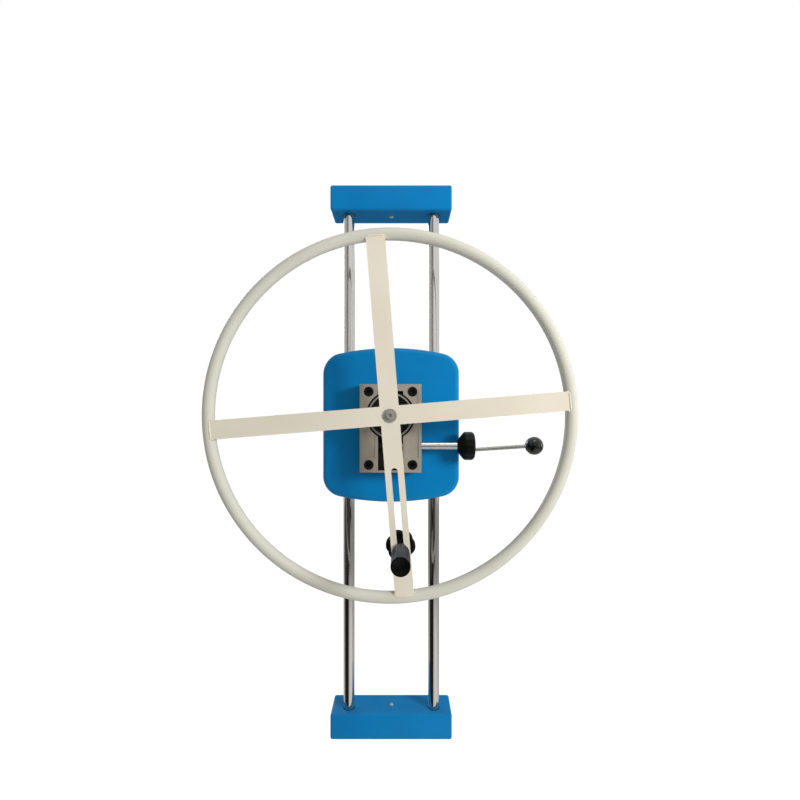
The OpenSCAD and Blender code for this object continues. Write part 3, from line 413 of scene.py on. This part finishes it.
# The rim's ivory: greener than the spokes' as its own tone, and darker as painted shade for how light falls
# on the round tube
RIM_TONE_AND_SHADE_FINISH = make_finish(
    "ivory_tube_tone_and_shade", (0.640, 0.630, 0.545), (0.600, 0.590, 0.505), (0.34, 0.46), TUBE_COAT, 0.000006,
    specular=0.22, scratches=0.08, scratch_colour=(0.48, 0.44, 0.37), dust=0.04)
BALL_FINISH = make_finish(
    "polished_ball", (0.0032, 0.0034, 0.0030), (0.0048, 0.0050, 0.0046), (0.07, 0.14), COARSE, 0.00001,
    specular=0.5, scratches=0.25, scratch_colour=(0.03, 0.03, 0.03), dust=0.01)
GRIP_FINISH = make_finish(
    "grip_plastic", (0.0080, 0.0080, 0.0068), (0.0120, 0.0120, 0.0100), (0.28, 0.44), COARSE, 0.00006,
    specular=0.62, wear=((0.040, 0.040, 0.036), 0.0010, 0.5), scratches=0.2,
    scratch_colour=(0.030, 0.030, 0.028), dust=0.05)
ROD_FINISH = make_finish(
    "satin_rod", (0.36, 0.35, 0.34), (0.28, 0.275, 0.265), (0.26, 0.38), DRAWN, 0.00001,
    metallic=0.6, scratches=0.3, scratch_colour=(0.20, 0.20, 0.19), dust=0.03)
SCREW_FINISH = make_finish(
    "satin_screw", (0.62, 0.61, 0.59), (0.52, 0.51, 0.49), (0.20, 0.30), DRAWN, 0.000008,
    metallic=0.85, scratches=0.3, scratch_colour=(0.32, 0.32, 0.31))
# The drum's steel with painted shade: black inside its cup, where shade falls
DRUM_SHADED_FINISH = make_finish(
    "drum_with_painted_shade", (0.50, 0.475, 0.42), (0.38, 0.365, 0.33), (0.22, 0.36), TURNED, 0.00002,
    metallic=0.5, scratches=0.3, scratch_colour=(0.32, 0.31, 0.30), painted_shade=(DRUM_SHADE,))


# Making pieces


def piece(name, bm, body, slot, stands_for=(), smooth=32):
    """Turns a bmesh into a piece that rides on a body and takes the finish of a slot. Edges look
    smooth up to an angle in degrees."""
    mesh = bpy.data.meshes.new(name)
    bm.to_mesh(mesh)
    bm.free()
    smooth_shading(mesh, smooth)
    mesh.materials.append(FINISH[slot])
    obj = bpy.data.objects.new(name, mesh)
    scene.collection.objects.link(obj)
    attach(obj, body)
    if stands_for:
        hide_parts(*stands_for)
    return obj


def smooth_shading(mesh, angle):
    """Shades a mesh smooth and keeps the edges sharper than an angle in degrees."""
    mesh.shade_smooth()
    mesh.set_sharp_from_angle(angle=math.radians(angle))


def round_edges(obj, width, segments=3, angle=35):
    """Small rounded edges, left live so that they stay even on every edge."""
    edge = obj.modifiers.new("rounded_edges", "BEVEL")
    edge.width = width
    edge.segments = segments
    edge.limit_method = "ANGLE"
    edge.angle_limit = math.radians(angle)
    edge.harden_normals = True
    edge.use_clamp_overlap = True
    return obj


def cut_out(obj, tools):
    """Takes solids, given as bmeshes, out of a piece."""
    cutters = []
    for number, bm in enumerate(tools):
        bmesh.ops.recalc_face_normals(bm, faces=bm.faces)
        mesh = bpy.data.meshes.new("cutter")
        bm.to_mesh(mesh)
        bm.free()
        cutter = bpy.data.objects.new(f"cutter_{number}", mesh)
        scene.collection.objects.link(cutter)
        hole = obj.modifiers.new("hole", "BOOLEAN")
        hole.object = cutter
        hole.operation = "DIFFERENCE"
        hole.solver = "EXACT"
        cutters.append(cutter)
    bake_modifiers(obj)
    for cutter in cutters:
        bpy.data.objects.remove(cutter)


def bake_modifiers(obj):
    """Puts the mesh that the modifiers make in place of them."""
    evaluated = obj.evaluated_get(bpy.context.evaluated_depsgraph_get())
    mesh = bpy.data.meshes.new_from_object(evaluated)
    obj.modifiers.clear()
    obj.data = mesh
    smooth_shading(mesh, 32)


def merge(bm):
    """Makes one point of points in the same place."""
    bmesh.ops.remove_doubles(bm, verts=bm.verts, dist=0.001 * MM)


def settle(bm, matrix):
    """Moves a whole form to its place and turns its faces outwards."""
    bmesh.ops.transform(bm, matrix=matrix, verts=bm.verts)
    bmesh.ops.recalc_face_normals(bm, faces=bm.faces)


def join(whole, part):
    """Adds one bmesh to another and frees it."""
    mesh = bpy.data.meshes.new("part")
    part.to_mesh(mesh)
    part.free()
    whole.from_mesh(mesh)
    bpy.data.meshes.remove(mesh)


def block(low, high):
    """A box between two corners."""
    bm = bmesh.new()
    low, high = Vector(low), Vector(high)
    made = bmesh.ops.create_cube(bm, size=1)
    bmesh.ops.scale(bm, vec=high - low, verts=made["verts"])
    bmesh.ops.translate(bm, vec=(low + high) / 2, verts=made["verts"])
    return bm


ALONG = {
    "X": Matrix.Rotation(math.radians(90), 4, "Y"),
    "Y": Matrix.Rotation(math.radians(90), 4, "X"),
    "Z": Matrix.Identity(4),
}


def turned(profile, place, axis="Y", segments=96, closed=False):
    """A form of revolution. The profile holds (radius, height) points; along Y the height runs out
    from the wall, so it is a distance from it."""
    bm = bmesh.new()
    points = [bm.verts.new((radius, 0, height)) for radius, height in profile]
    links = [bm.edges.new(pair) for pair in zip(points, points[1:])]
    if closed:
        links.append(bm.edges.new((points[-1], points[0])))
    bmesh.ops.spin(bm, geom=points + links, cent=(0, 0, 0), axis=(0, 0, 1), angle=math.tau,
                   steps=segments, use_merge=True)
    merge(bm)
    settle(bm, Matrix.Translation(place) @ ALONG[axis])
    return bm


def arc(centre, radius, start, end, steps):
    """Points of a profile on an arc, in degrees from the radial direction towards the axis's."""
    angles = [math.radians(start + (end - start) * step / steps) for step in range(steps + 1)]
    return [(centre[0] + radius * math.cos(a), centre[1] + radius * math.sin(a)) for a in angles]


def dressed(node, width, segments=2):
    """A CAD node's own shape with its edges rounded."""
    source = frame["nodes"][node]
    bm = bmesh.new()
    bm.from_mesh(source.data)
    merge(bm)
    bmesh.ops.dissolve_limit(bm, angle_limit=math.radians(0.4), verts=bm.verts, edges=bm.edges)
    made = piece(node + "_dressed", bm, source["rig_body"], SLOT_OF[node], [node])
    return round_edges(made, width, segments)


def middle(node):
    """Middle of a CAD node's box."""
    low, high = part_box(node)
    return (low + high) / 2


# Wall frame: rails, end covers

RAIL_LOW, RAIL_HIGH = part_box("left_rail")
RAIL_R = (RAIL_HIGH.x - RAIL_LOW.x) / 2
COVER_WALL = 3 * MM


def make_rail(side):
    """Round tube with a small chamfer at its ends."""
    low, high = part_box(f"{side}_rail")
    radius, wall, chamfer = (high.x - low.x) / 2, 2 * MM, 0.5 * MM
    centre = (low + high) / 2
    profile = [
        (radius - wall, low.z), (radius - chamfer, low.z), (radius, low.z + chamfer),
        (radius, high.z - chamfer), (radius - chamfer, high.z), (radius - wall, high.z),
    ]
    bm = turned(profile, (centre.x, centre.y, 0), "Z", 128, closed=True)
    piece(f"{side}_rail_tube", bm, "wall_frame", "chrome", [f"{side}_rail"])


def rail_cutter(rail, radius, middle_z, reach):
    """A round tool along a rail, reaching so far up and down from a height."""
    profile = [(0, -reach), (radius, -reach), (radius, reach), (0, reach)]
    return turned(profile, (rail.x, rail.y, middle_z), "Z", 64)


def give_wall(obj):
    """Turns a skin into a shell whose wall lies inside it."""
    shell = obj.modifiers.new("wall", "SOLIDIFY")
    shell.thickness = COVER_WALL
    shell.offset = -1
    bake_modifiers(obj)


def make_end_cover(end):
    """Shell open at the back, with a round hole for each rail."""
    node = f"{end}_end_cover"
    low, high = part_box(node)
    corner, rail_gap, reach = 5 * MM, 0.9 * MM, 8 * MM
    bm = block(low, high)
    back = [f for f in bm.faces if f.normal.y > 0.9]
    bmesh.ops.delete(bm, geom=back, context="FACES")
    outer = [e for e in bm.edges if not e.is_boundary]
    bmesh.ops.bevel(bm, geom=outer, offset=corner, segments=8, profile=0.5, affect="EDGES", material=-1)
    obj = piece(f"{end}_end_cover_shell", bm, "wall_frame", "blue_shell", [node])
    give_wall(obj)
    inner_z = low.z if end == "top" else high.z
    rails = [middle(f"{side}_rail") for side in ("left", "right")]
    cut_out(obj, [rail_cutter(rail, RAIL_R + rail_gap, inner_z, reach) for rail in rails])
    round_edges(obj, 0.5 * MM, 2)


# Carriage cover


def make_carriage_cover():
    """Shell with crowned top and bottom, open at the back, with notches for the rails and a slot for
    the lever's swing."""
    low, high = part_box("carriage_cover")
    centre = (low + high) / 2
    half_w, half_h = (high.x - low.x) / 2, (high.z - low.z) / 2
    crown, corner, edge = 540 * MM, 45 * MM, 12 * MM
    corner_x = half_w - corner
    corner_z = half_h - crown + math.sqrt((crown - corner) ** 2 - corner_x ** 2)
    tilt = math.acos(corner_x / (crown - corner))
    bm = bmesh.new()
    for up in (1, -1):
        start = bm.verts.new((up * half_w, 0, up * corner_z))
        for cent, angle, steps in (
            ((up * corner_x, 0, up * corner_z), tilt, 14),
            ((0, 0, up * (half_h - crown)), math.pi - 2 * tilt, 40),
            ((-up * corner_x, 0, up * corner_z), tilt, 14),
        ):
            turn = bmesh.ops.spin(bm, geom=[start], cent=cent, axis=(0, -1, 0), angle=angle, steps=steps)
            start = [v for v in turn["geom_last"] if isinstance(v, bmesh.types.BMVert)][0]
    bmesh.ops.remove_doubles(bm, verts=bm.verts, dist=0.01 * MM)
    ends = [v for v in bm.verts if len(v.link_edges) == 1]
    for side in (1, -1):
        bm.edges.new([v for v in ends if v.co.x * side > 0])
    bmesh.ops.contextual_create(bm, geom=bm.edges)
    bmesh.ops.translate(bm, vec=(centre.x, high.y, centre.z), verts=bm.verts)
    front = bmesh.ops.extrude_face_region(bm, geom=bm.faces[:])["geom"]
    moved = [v for v in front if isinstance(v, bmesh.types.BMVert)]
    bmesh.ops.translate(bm, vec=(0, low.y - high.y, 0), verts=moved)
    back = [f for f in bm.faces if f.calc_center_median().y > high.y - 0.01 * MM]
    bmesh.ops.delete(bm, geom=back, context="FACES_ONLY")
    bmesh.ops.recalc_face_normals(bm, faces=bm.faces)
    rim = [e for e in bm.edges if all(abs(v.co.y - low.y) < 0.001 * MM for v in e.verts)]
    bmesh.ops.bevel(bm, geom=rim, offset=edge, segments=10, profile=0.5, affect="EDGES", material=-1)
    # The big front face has to look towards the user, away from the wall
    if sum(f.normal.y for f in bm.faces if f.calc_area() > 0.01) > 0:
        bmesh.ops.reverse_faces(bm, faces=bm.faces)
    obj = piece("carriage_shell", bm, "carriage", "blue_shell", ["carriage_cover"])
    give_wall(obj)
    tools = []
    notch, reach, depth = RAIL_R + 2.5 * MM, 20 * MM, 80 * MM
    for side in ("left", "right"):
        rail = middle(f"{side}_rail")
        for z in (low.z, high.z):
            inside = Vector((rail.x, rail.y, z))
            tools.append(rail_cutter(rail, notch, z, reach))
            tools.append(block(inside + Vector((-notch, 0, -reach)), inside + Vector((notch, depth, reach))))
    lever = middle("lever_rod")
    hub = middle("lever_hub")
    lever_up, lever_down = 48.7, 11.3  # degrees that the lever swings above and below the level
    out = high.x - hub.x
    up, down = out * math.tan(math.radians(lever_up)), out * math.tan(math.radians(lever_down))
    half = 6 * MM
    tools.append(block((high.x - half, lever.y - half, hub.z - down - 7 * MM),
                       (high.x + half, lever.y + half, hub.z + up + 8 * MM)))
    cut_out(obj, tools)
    round_edges(obj, 0.6 * MM, 2)


# Wheel

WHEEL_TURN = math.atan2(middle("handle_stud").x - HUB.x, HUB.z - middle("handle_stud").z)
AT_WHEEL = Matrix.Translation(HUB) @ Matrix.Rotation(-WHEEL_TURN, 4, "Y")
RIM_LOW, RIM_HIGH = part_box("wheel_rim")
TUBE_R = (RIM_HIGH.y - RIM_LOW.y) / 2
RIM_R = (RIM_HIGH.x - RIM_LOW.x) / 2 - TUBE_R
RIM_Y = (RIM_HIGH.y + RIM_LOW.y) / 2
SPOKE_LOW, SPOKE_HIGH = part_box("vertical_spoke")
SPOKE_WIDTH = 38 * MM  # across the flat bar, which leans, so that its box is wider


def hoop(radius, thickness_radius, depth, sides, steps):
    """A round ring about the Y axis, at a depth along it."""
    bm = bmesh.new()
    circle = bmesh.ops.create_circle(bm, cap_ends=False, segments=sides, radius=thickness_radius)
    bmesh.ops.transform(bm, matrix=Matrix.Translation((radius, depth, 0)), verts=circle["verts"])
    bmesh.ops.spin(bm, geom=bm.verts[:] + bm.edges[:], cent=(0, 0, 0), axis=(0, 1, 0), angle=math.tau,
                   steps=steps, use_merge=True)
    merge(bm)
    return bm


def make_rim():
    """Rim tube, with a paint of its own: its greener grey is the tube's own tone, and its darker shade than
    the spokes' is painted shade, for how light falls on the round tube.
    """
    bm = hoop(RIM_R, TUBE_R, RIM_Y, 40, 240)
    settle(bm, AT_WHEEL)
    rim = piece("rim_tube", bm, "wheel", "ivory_paint", ["wheel_rim"])
    rim.data.materials[0] = RIM_TONE_AND_SHADE_FINISH


def bead(length, radius, bend, ripples):
    """A weld bead along X about the origin, with ripples and thin ends, bent to a radius unless that
    is 0."""
    cuts_per_ripple, ripple_height, hollow_depth = 6, 0.16, 0.1
    end_share, end_rise = 0.35, 6
    bm = bmesh.new()
    bmesh.ops.create_cone(bm, cap_ends=True, segments=14, radius1=radius, radius2=radius, depth=length)
    lying = Matrix.Rotation(math.radians(90), 3, "Y")
    bmesh.ops.rotate(bm, cent=(0, 0, 0), matrix=lying, verts=bm.verts)
    long_edges = [e for e in bm.edges if abs(e.verts[0].co.x - e.verts[1].co.x) > length / 2]
    bmesh.ops.subdivide_edges(bm, edges=long_edges, cuts=ripples * cuts_per_ripple - 1)
    for vert in bm.verts:
        along = vert.co.x / length + 0.5
        swell = 1 + ripple_height * abs(math.sin(math.pi * ripples * along)) - hollow_depth
        ends = min(1, end_share + end_rise * min(along, 1 - along))
        sag = math.sqrt(bend ** 2 - vert.co.x ** 2) - bend if bend else 0
        vert.co.y *= swell * ends
        vert.co.z = vert.co.z * swell * ends + sag
    return bm


def make_rim_welds():
    """Beads where the spokes' ends meet the rim, in front, behind and at both sides."""
    places = []
    for depth in (SPOKE_LOW.y, SPOKE_HIGH.y):
        chord = math.sqrt(TUBE_R ** 2 - (depth - RIM_Y) ** 2)
        places.append((depth, RIM_R - chord))
    middle_depth = (SPOKE_LOW.y + SPOKE_HIGH.y) / 2
    middle_radial = (places[0][1] + places[1][1]) / 2
    lean = Matrix.Rotation(math.radians(52), 3, "X") @ Matrix.Rotation(math.radians(90), 3, "Z")
    for number, quarter in enumerate(("upper", "left", "lower", "right")):
        whole = bmesh.new()
        for depth, radial in places:
            one = bead(SPOKE_WIDTH - 1 * MM, 1.9 * MM, radial, 11)
            into_corner = 0.4 * MM if depth < RIM_Y else -0.6 * MM
            bmesh.ops.translate(one, vec=(0, depth + into_corner, radial - 0.3 * MM), verts=one.verts)
            join(whole, one)
        for side in (-1, 1):
            one = bead(7.5 * MM, 1.7 * MM, 0, 4)
            bmesh.ops.rotate(one, cent=(0, 0, 0), matrix=lean, verts=one.verts)
            offset = (side * SPOKE_WIDTH / 2, middle_depth, middle_radial)
            bmesh.ops.translate(one, vec=offset, verts=one.verts)
            join(whole, one)
        settle(whole, AT_WHEEL @ Matrix.Rotation(-number * math.pi / 2, 4, "Y"))
        piece(f"{quarter}_rim_weld", whole, "wheel", "ivory_paint", smooth=60)


def make_boss_weld():
    """Rippled bead round the boss, behind the spokes."""
    low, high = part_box("hub_boss")
    radius = (high.x - low.x) / 2
    ripples, ripple_height = 36, 0.012
    bm = hoop(radius + 0.3 * MM, 2.4 * MM, SPOKE_HIGH.y + 0.2 * MM, 12, 180)
    for vert in bm.verts:
        ripple = 1 + ripple_height * math.sin(ripples * math.atan2(vert.co.z, vert.co.x))
        vert.co.x *= ripple
        vert.co.z *= ripple
    settle(bm, AT_WHEEL)
    piece("boss_weld", bm, "wheel", "ivory_paint", smooth=60)


# Handle and knobs


def fluted(profile, place, axis, flutes, depth, fluted_from, segments):
    """A turned form whose outer wall has shallow scallops. Within fluted_from it stays round."""
    fade, sharpness = 0.5 * MM, 1.6
    bm = turned(profile, (0, 0, 0), "Z", segments)
    for vert in bm.verts:
        radius = math.hypot(vert.co.x, vert.co.y)
        if radius > fluted_from:
            angle = math.atan2(vert.co.y, vert.co.x)
            hollow = 0.5 - 0.5 * math.cos(flutes * angle)
            share = min(1, (radius - fluted_from) / fade)
            scale = 1 - share * depth * hollow ** sharpness / radius
            vert.co.x *= scale
            vert.co.y *= scale
    settle(bm, Matrix.Translation(place) @ ALONG[axis])
    return bm


def make_grip():
    """Fluted grip and its plain turned cap, with a seam between them."""
    low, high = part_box("handle_grip")
    radius = (high.x - low.x) / 2
    centre = middle("handle_grip")
    place = (centre.x, 0, centre.z)
    back, seam, front = -high.y, -low.y, -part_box("grip_end_cap")[0].y
    bore, heel, lip, steps = 7.6 * MM, 3 * MM, 1.2 * MM, 14
    wall_from, wall_to = back + heel, seam - 1 * MM
    body = [(bore, back), (radius - heel, back)]
    body += arc((radius - heel, back + heel), heel, -80, 0, 8)
    body += [(radius, wall_from + (wall_to - wall_from) * step / steps) for step in range(1, steps + 1)]
    body += [(radius - 0.5 * MM, seam - 0.2 * MM), (radius - lip, seam), (bore, seam)]
    bm = fluted(body, place, "Y", 18, 0.7 * MM, radius - 1.4 * MM, 216)
    grip = piece("fluted_grip", bm, "grip", "black_plastic", ["handle_grip"], smooth=40)
    grip.data.materials[0] = GRIP_FINISH
    spigot, nose = 6 * MM, 1 * MM
    cap = [(0, seam - 1.5 * MM), (radius - spigot, seam - 1.5 * MM), (radius - spigot, seam),
           (radius - lip, seam), (radius - 0.2 * MM, seam + 0.3 * MM)]
    cap += arc((radius - nose, front - nose), nose, 0, 90, 6)
    cap += [(radius - 4 * MM, front), (radius - 4.6 * MM, front - 0.5 * MM), (0, front - 0.5 * MM)]
    bm = turned(cap, place, "Y", 128)
    piece("fluted_grip_cap", bm, "grip", "black_plastic", ["grip_end_cap"], smooth=40)


def lobed_radius(angle, outer, lobes):
    """Radius of an outline of overlapping round lobes, at an angle from the middle of one."""
    overlap = 1.13
    lobe = outer * math.sin(math.pi / lobes) * overlap
    off = (angle + math.pi / lobes) % (math.tau / lobes) - math.pi / lobes
    middle_out = outer - lobe
    return middle_out * math.cos(off) + math.sqrt(lobe ** 2 - (middle_out * math.sin(off)) ** 2)


def make_star_knob():
    """Knob with six round lobes, shallow hollows between them and a raised boss in front."""
    low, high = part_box("star_knob")
    centre = middle("star_knob")
    lobes, first_lobe = 6, -10.5  # degrees of the first lobe from the spoke
    outer, boss, edge, raised = 30 * MM, 15.6 * MM, 3.5 * MM, 4 * MM
    back, front = -high.y, -low.y
    step = front - raised
    profile = [(9.1 * MM, front), (13.5 * MM, front), (14.5 * MM, front - 1.2 * MM), (15.5 * MM, step)]
    profile += [(outer - edge, step)]
    profile += arc((outer - edge, step - edge), edge, 80, 0, 7)
    profile += arc((outer - edge, back + edge), edge, 0, -90, 8)
    profile += [(outer - 8 * MM, back), (outer - 10 * MM, back + 0.8 * MM), (0, back + 0.8 * MM)]
    bm = turned(profile, (0, 0, 0), "Z", 252)
    for vert in bm.verts:
        radius = math.hypot(vert.co.x, vert.co.y)
        if radius > boss:
            hollow = outer - lobed_radius(math.atan2(vert.co.y, vert.co.x), outer, lobes)
            scale = 1 - (radius - boss) / (outer - boss) * hollow / radius
            vert.co.x *= scale
            vert.co.y *= scale
    turn = Matrix.Rotation(-WHEEL_TURN, 4, "Y") @ ALONG["Y"]
    turn = turn @ Matrix.Rotation(math.radians(first_lobe), 4, "Z")
    settle(bm, Matrix.Translation((centre.x, 0, centre.z)) @ turn)
    piece("lobed_star_knob", bm, "star_knob", "black_plastic", ["star_knob"], smooth=38)


def make_damping_knob():
    """Tapered knob with a narrow nose towards the housing, a rounded shoulder and a domed end."""
    low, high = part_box("damping_knob")
    centre = middle("damping_knob")
    radius = (high.z - low.z) / 2
    x0, x1 = low.x, high.x
    nose, shoulder, end = 12.2 * MM, 6.5 * MM, 7.2 * MM
    profile = [(8.1 * MM, x0 + 0.2 * MM), (nose, x0)]
    profile += arc((nose, x0 + 1.5 * MM), 1.5 * MM, -80, -50, 3)
    profile += arc((radius - shoulder, x0 + 17.5 * MM), shoulder, -48, 0, 10)
    profile += [(radius, x0 + 20 * MM), (radius, x0 + 24 * MM)]
    profile += arc((radius - end, x1 - end), end, 0, 84, 12)
    profile += [(radius - end - 3 * MM, x1), (radius - end - 4.5 * MM, x1 - 0.8 * MM), (0, x1 - 0.8 * MM)]
    bm = fluted(profile, (0, centre.y, centre.z), "X", 12, 0.9 * MM, radius - 4 * MM, 192)
    piece("fluted_damping_knob", bm, "damping_knob", "black_plastic", ["damping_knob"], smooth=38)


def make_lever_ball():
    """Ball with a small flat where the rod goes in, turned along the rod's own line."""
    low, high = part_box("lever_ball")
    centre, radius = (low + high) / 2, (high.z - low.z) / 2
    hub = middle("lever_hub")
    rise = math.atan2(centre.z - hub.z, centre.x - hub.x)
    flat_radius, bore = 6.5 * MM, 4.1 * MM
    flat = math.degrees(math.asin(flat_radius / radius))
    profile = [(bore, -radius * math.cos(math.radians(flat)))]
    profile += arc((0, 0), radius, -90 + flat, 90, 40)
    profile[-1] = (0, radius)
    bm = turned(profile, (0, 0, 0), "X", 96)
    matrix = Matrix.Translation(centre) @ Matrix.Rotation(-rise, 4, "Y")
    bmesh.ops.transform(bm, matrix=matrix, verts=bm.verts)
    ball = piece("turned_lever_ball", bm, "clamp_lever", "black_plastic", ["lever_ball"], smooth=38)
    ball.data.materials[0] = BALL_FINISH


make_rail("left")
make_rail("right")
make_end_cover("top")
make_end_cover("bottom")
make_carriage_cover()
make_rim()
make_rim_welds()
make_boss_weld()
make_grip()
make_star_knob()
make_damping_knob()
make_lever_ball()

# Millimetres of rounding on the edges of the pieces that keep their CAD shape
EDGE_WIDTHS = {
    "top_wall_bracket": 0.6, "bottom_wall_bracket": 0.6, "rail_sockets": 0.8, "socket_grub_screws": 0.3,
    "end_cover_screws": 0.25, "carriage_plate": 0.6, "guide_blocks": 0.8, "slide_bushes": 0.3,
    "plate_screws": 0.25, "brake_housing": 0.9, "housing_screws": 0.6, "bearing_housing": 0.8,
    "bearing_housing_screws": 0.4, "bearing_outer_races": 0.4, "brake_band": 0.25, "brake_lining": 0.2,
    "band_anchor_screw": 0.4, "band_anchor_sleeve": 0.4, "band_anchor_nut": 0.4, "rail_clamp_block": 0.8,
    "clamp_nut": 0.4, "damping_thread_bush": 0.3, "vertical_spoke": 0.7, "left_spoke": 0.7,
    "right_spoke": 0.7, "hub_boss": 0.5, "spindle": 0.4, "spindle_key": 0.3, "brake_drum": 0.6,
    "hub_bolt": 0.5, "hub_washer": 0.4, "bearing_inner_races": 0.4, "spindle_circlip": 0.2,
    "handle_stud": 0.5, "stud_collar": 0.6, "grip_washer": 0.2, "grip_screw": 0.3,
    "star_knob_washer": 0.3, "star_knob_insert": 0.3, "pressure_pad": 0.4, "damping_screw": 0.5,
    "clamp_screw": 0.5, "lever_hub": 0.8, "lever_rod": 0.3,
}
# Pieces whose finish differs from that of the others in their slot
OWN_FINISH = {
    "brake_drum": DRUM_SHADED_FINISH, "lever_rod": ROD_FINISH, "damping_screw": SCREW_FINISH,
    "star_knob_washer": FINISH["black_steel"],
}
for name, width in EDGE_WIDTHS.items():
    made = dressed(name, width * MM)
    if name in OWN_FINISH:
        made.data.materials[0] = OWN_FINISH[name]
# The nodes that no piece stands for, such as the bearing's balls, show as they are
for name, node in frame["nodes"].items():
    if not node.hide_render:
        node.data.materials.clear()
        node.data.materials.append(FINISH[SLOT_OF[name]])
        node.data.shade_smooth()


# Studio

FLOOR_Z = -1.30
LAMPS_AIM = Vector((0, -0.1, 0.05))


def upright(turn):
    """Stands a flat sheet up and turns it by degrees about the vertical."""
    return Matrix.Rotation(math.radians(turn), 4, "Z") @ Matrix.Rotation(math.radians(90), 4, "X")


def flat_panel(name, width, height, centre, turn):
    """A flat sheet of the studio, not of the part."""
    bm = bmesh.new()
    bmesh.ops.create_grid(bm, x_segments=1, y_segments=1, size=0.5)
    bmesh.ops.scale(bm, vec=(width, height, 1), verts=bm.verts)
    bmesh.ops.transform(bm, matrix=Matrix.Translation(centre) @ turn, verts=bm.verts)
    mesh = bpy.data.meshes.new(name)
    bm.to_mesh(mesh)
    bm.free()
    obj = bpy.data.objects.new(name, mesh)
    scene.collection.objects.link(obj)
    return obj


def make_floor():
    """Pale floor that shows white to the camera but keeps the shadow on it. It glows more where the
    lamps reach it less."""
    floor = flat_panel("floor", 14, 14, (0, 0, FLOOR_Z), Matrix.Identity(4))
    material = bpy.data.materials.new("pale_floor")
    material.use_nodes = True
    tree = material.node_tree
    shader = tree.nodes["Principled BSDF"]
    shader.inputs["Base Color"].default_value = (0.88, 0.88, 0.87, 1)
    shader.inputs["Roughness"].default_value = 0.8
    seen = add(tree, "LightPath").outputs["Is Camera Ray"]
    distance = add(tree, "VectorMath", {0: on_object(tree)}, operation="LENGTH").outputs["Value"]
    fade = spread(tree, distance, 1.2, 4.5, 0.40, 0.74)
    glow = add(tree, "Emission", {"Color": (1, 1, 1, 1), "Strength": product(tree, seen, fade)})
    total = add(tree, "AddShader", {0: shader.outputs[0], 1: glow.outputs[0]})
    tree.links.new(total.outputs[0], tree.nodes["Material Output"].inputs["Surface"])
    floor.data.materials.append(material)


def make_card(name, width, height, centre, turn, shade):
    """A grey card out of sight, that only gloss and chrome reflect."""
    card = flat_panel(name, width, height, centre, turn)
    material = bpy.data.materials.new(name)
    material.use_nodes = True
    shader = material.node_tree.nodes["Principled BSDF"]
    shader.inputs["Base Color"].default_value = (shade, shade, shade, 1)
    shader.inputs["Roughness"].default_value = 1.0
    shader.inputs["Specular IOR Level"].default_value = 0.0
    card.data.materials.append(material)
    for kind in ("camera", "diffuse", "shadow", "transmission", "volume_scatter"):
        setattr(card, f"visible_{kind}", False)


def make_lamp(name, place, size, power, colour, mirrored=True):
    """A round lamp out of sight, aimed at the part. Gloss and chrome mirror it unless mirrored is off."""
    data = bpy.data.lights.new(name, "AREA")
    data.shape = "DISK"
    data.size = size
    data.energy = power
    data.color = colour
    lamp = bpy.data.objects.new(name, data)
    lamp.location = place
    lamp.rotation_euler = (LAMPS_AIM - Vector(place)).to_track_quat("-Z", "Y").to_euler()
    lamp.visible_camera = False
    lamp.visible_glossy = mirrored
    scene.collection.objects.link(lamp)


def make_world():
    """White to the camera and in reflections, and a weak even light elsewhere."""
    world = bpy.data.worlds.new("studio")
    world.use_nodes = True
    tree = world.node_tree
    ambient = tree.nodes["Background"]
    ambient.inputs["Color"].default_value = (1, 1, 1, 1)
    ambient.inputs["Strength"].default_value = 0.35
    white = add(tree, "Background", {"Color": (1, 1, 1, 1), "Strength": 1.0})
    path = add(tree, "LightPath").outputs
    mirrored = reckon(tree, "MAXIMUM", path["Is Glossy Ray"], path["Is Transmission Ray"])
    seen = reckon(tree, "MAXIMUM", path["Is Camera Ray"], mirrored)
    mixed = add(tree, "MixShader", {0: seen, 1: ambient.outputs[0], 2: white.outputs[0]})
    tree.links.new(mixed.outputs[0], tree.nodes["World Output"].inputs["Surface"])
    scene.world = world


make_floor()
make_world()
make_card("front_card", 4.4, 1.9, (-0.5, -3.4, -0.35), upright(0), 0.10)
make_card("left_card", 3.0, 1.6, (-2.6, -1.4, -0.5), upright(-62), 0.08)
make_card("floor_card", 3.0, 3.2, (-1.6, -1.8, FLOOR_Z + 0.03), Matrix.Identity(4), 0.03)
make_card("back_card", 4.4, 2.7, (0, 2.9, 0.10), upright(0), 0.06)
make_card("high_front_card", 3.3, 1.7, (-1.95, -3.4, 1.46), upright(0), 0.65)
make_card("high_left_card", 3.0, 1.7, (-2.7, -0.9, 1.20), upright(-75), 0.95)
make_lamp("key", (1.95, -1.90, 0.70), 0.9, 57, (1.0, 0.985, 0.97), mirrored=False)
make_lamp("top", (0.3, -0.8, 2.2), 1.0, 9, (1.0, 1.0, 0.99))
make_lamp("right_strip", (2.1, -0.1, 0.2), 0.5, 2, (0.96, 0.985, 1.0))
make_lamp("back", (-1.6, 2.3, 1.1), 1.2, 22, (1.0, 1.0, 1.0))

# The photo's view: level, at the height of the hub and a little to its right

camera = bpy.data.objects.new("camera", bpy.data.cameras.new("camera"))
camera.location = (0.022, -1.199, 0.108)
camera.rotation_euler = (math.radians(90), 0, 0)
camera.data.lens = 22.75
camera.data.sensor_width = 36
camera.data.shift_x = -0.00125
camera.data.shift_y = 0.017
scene.collection.objects.link(camera)
scene.camera = camera
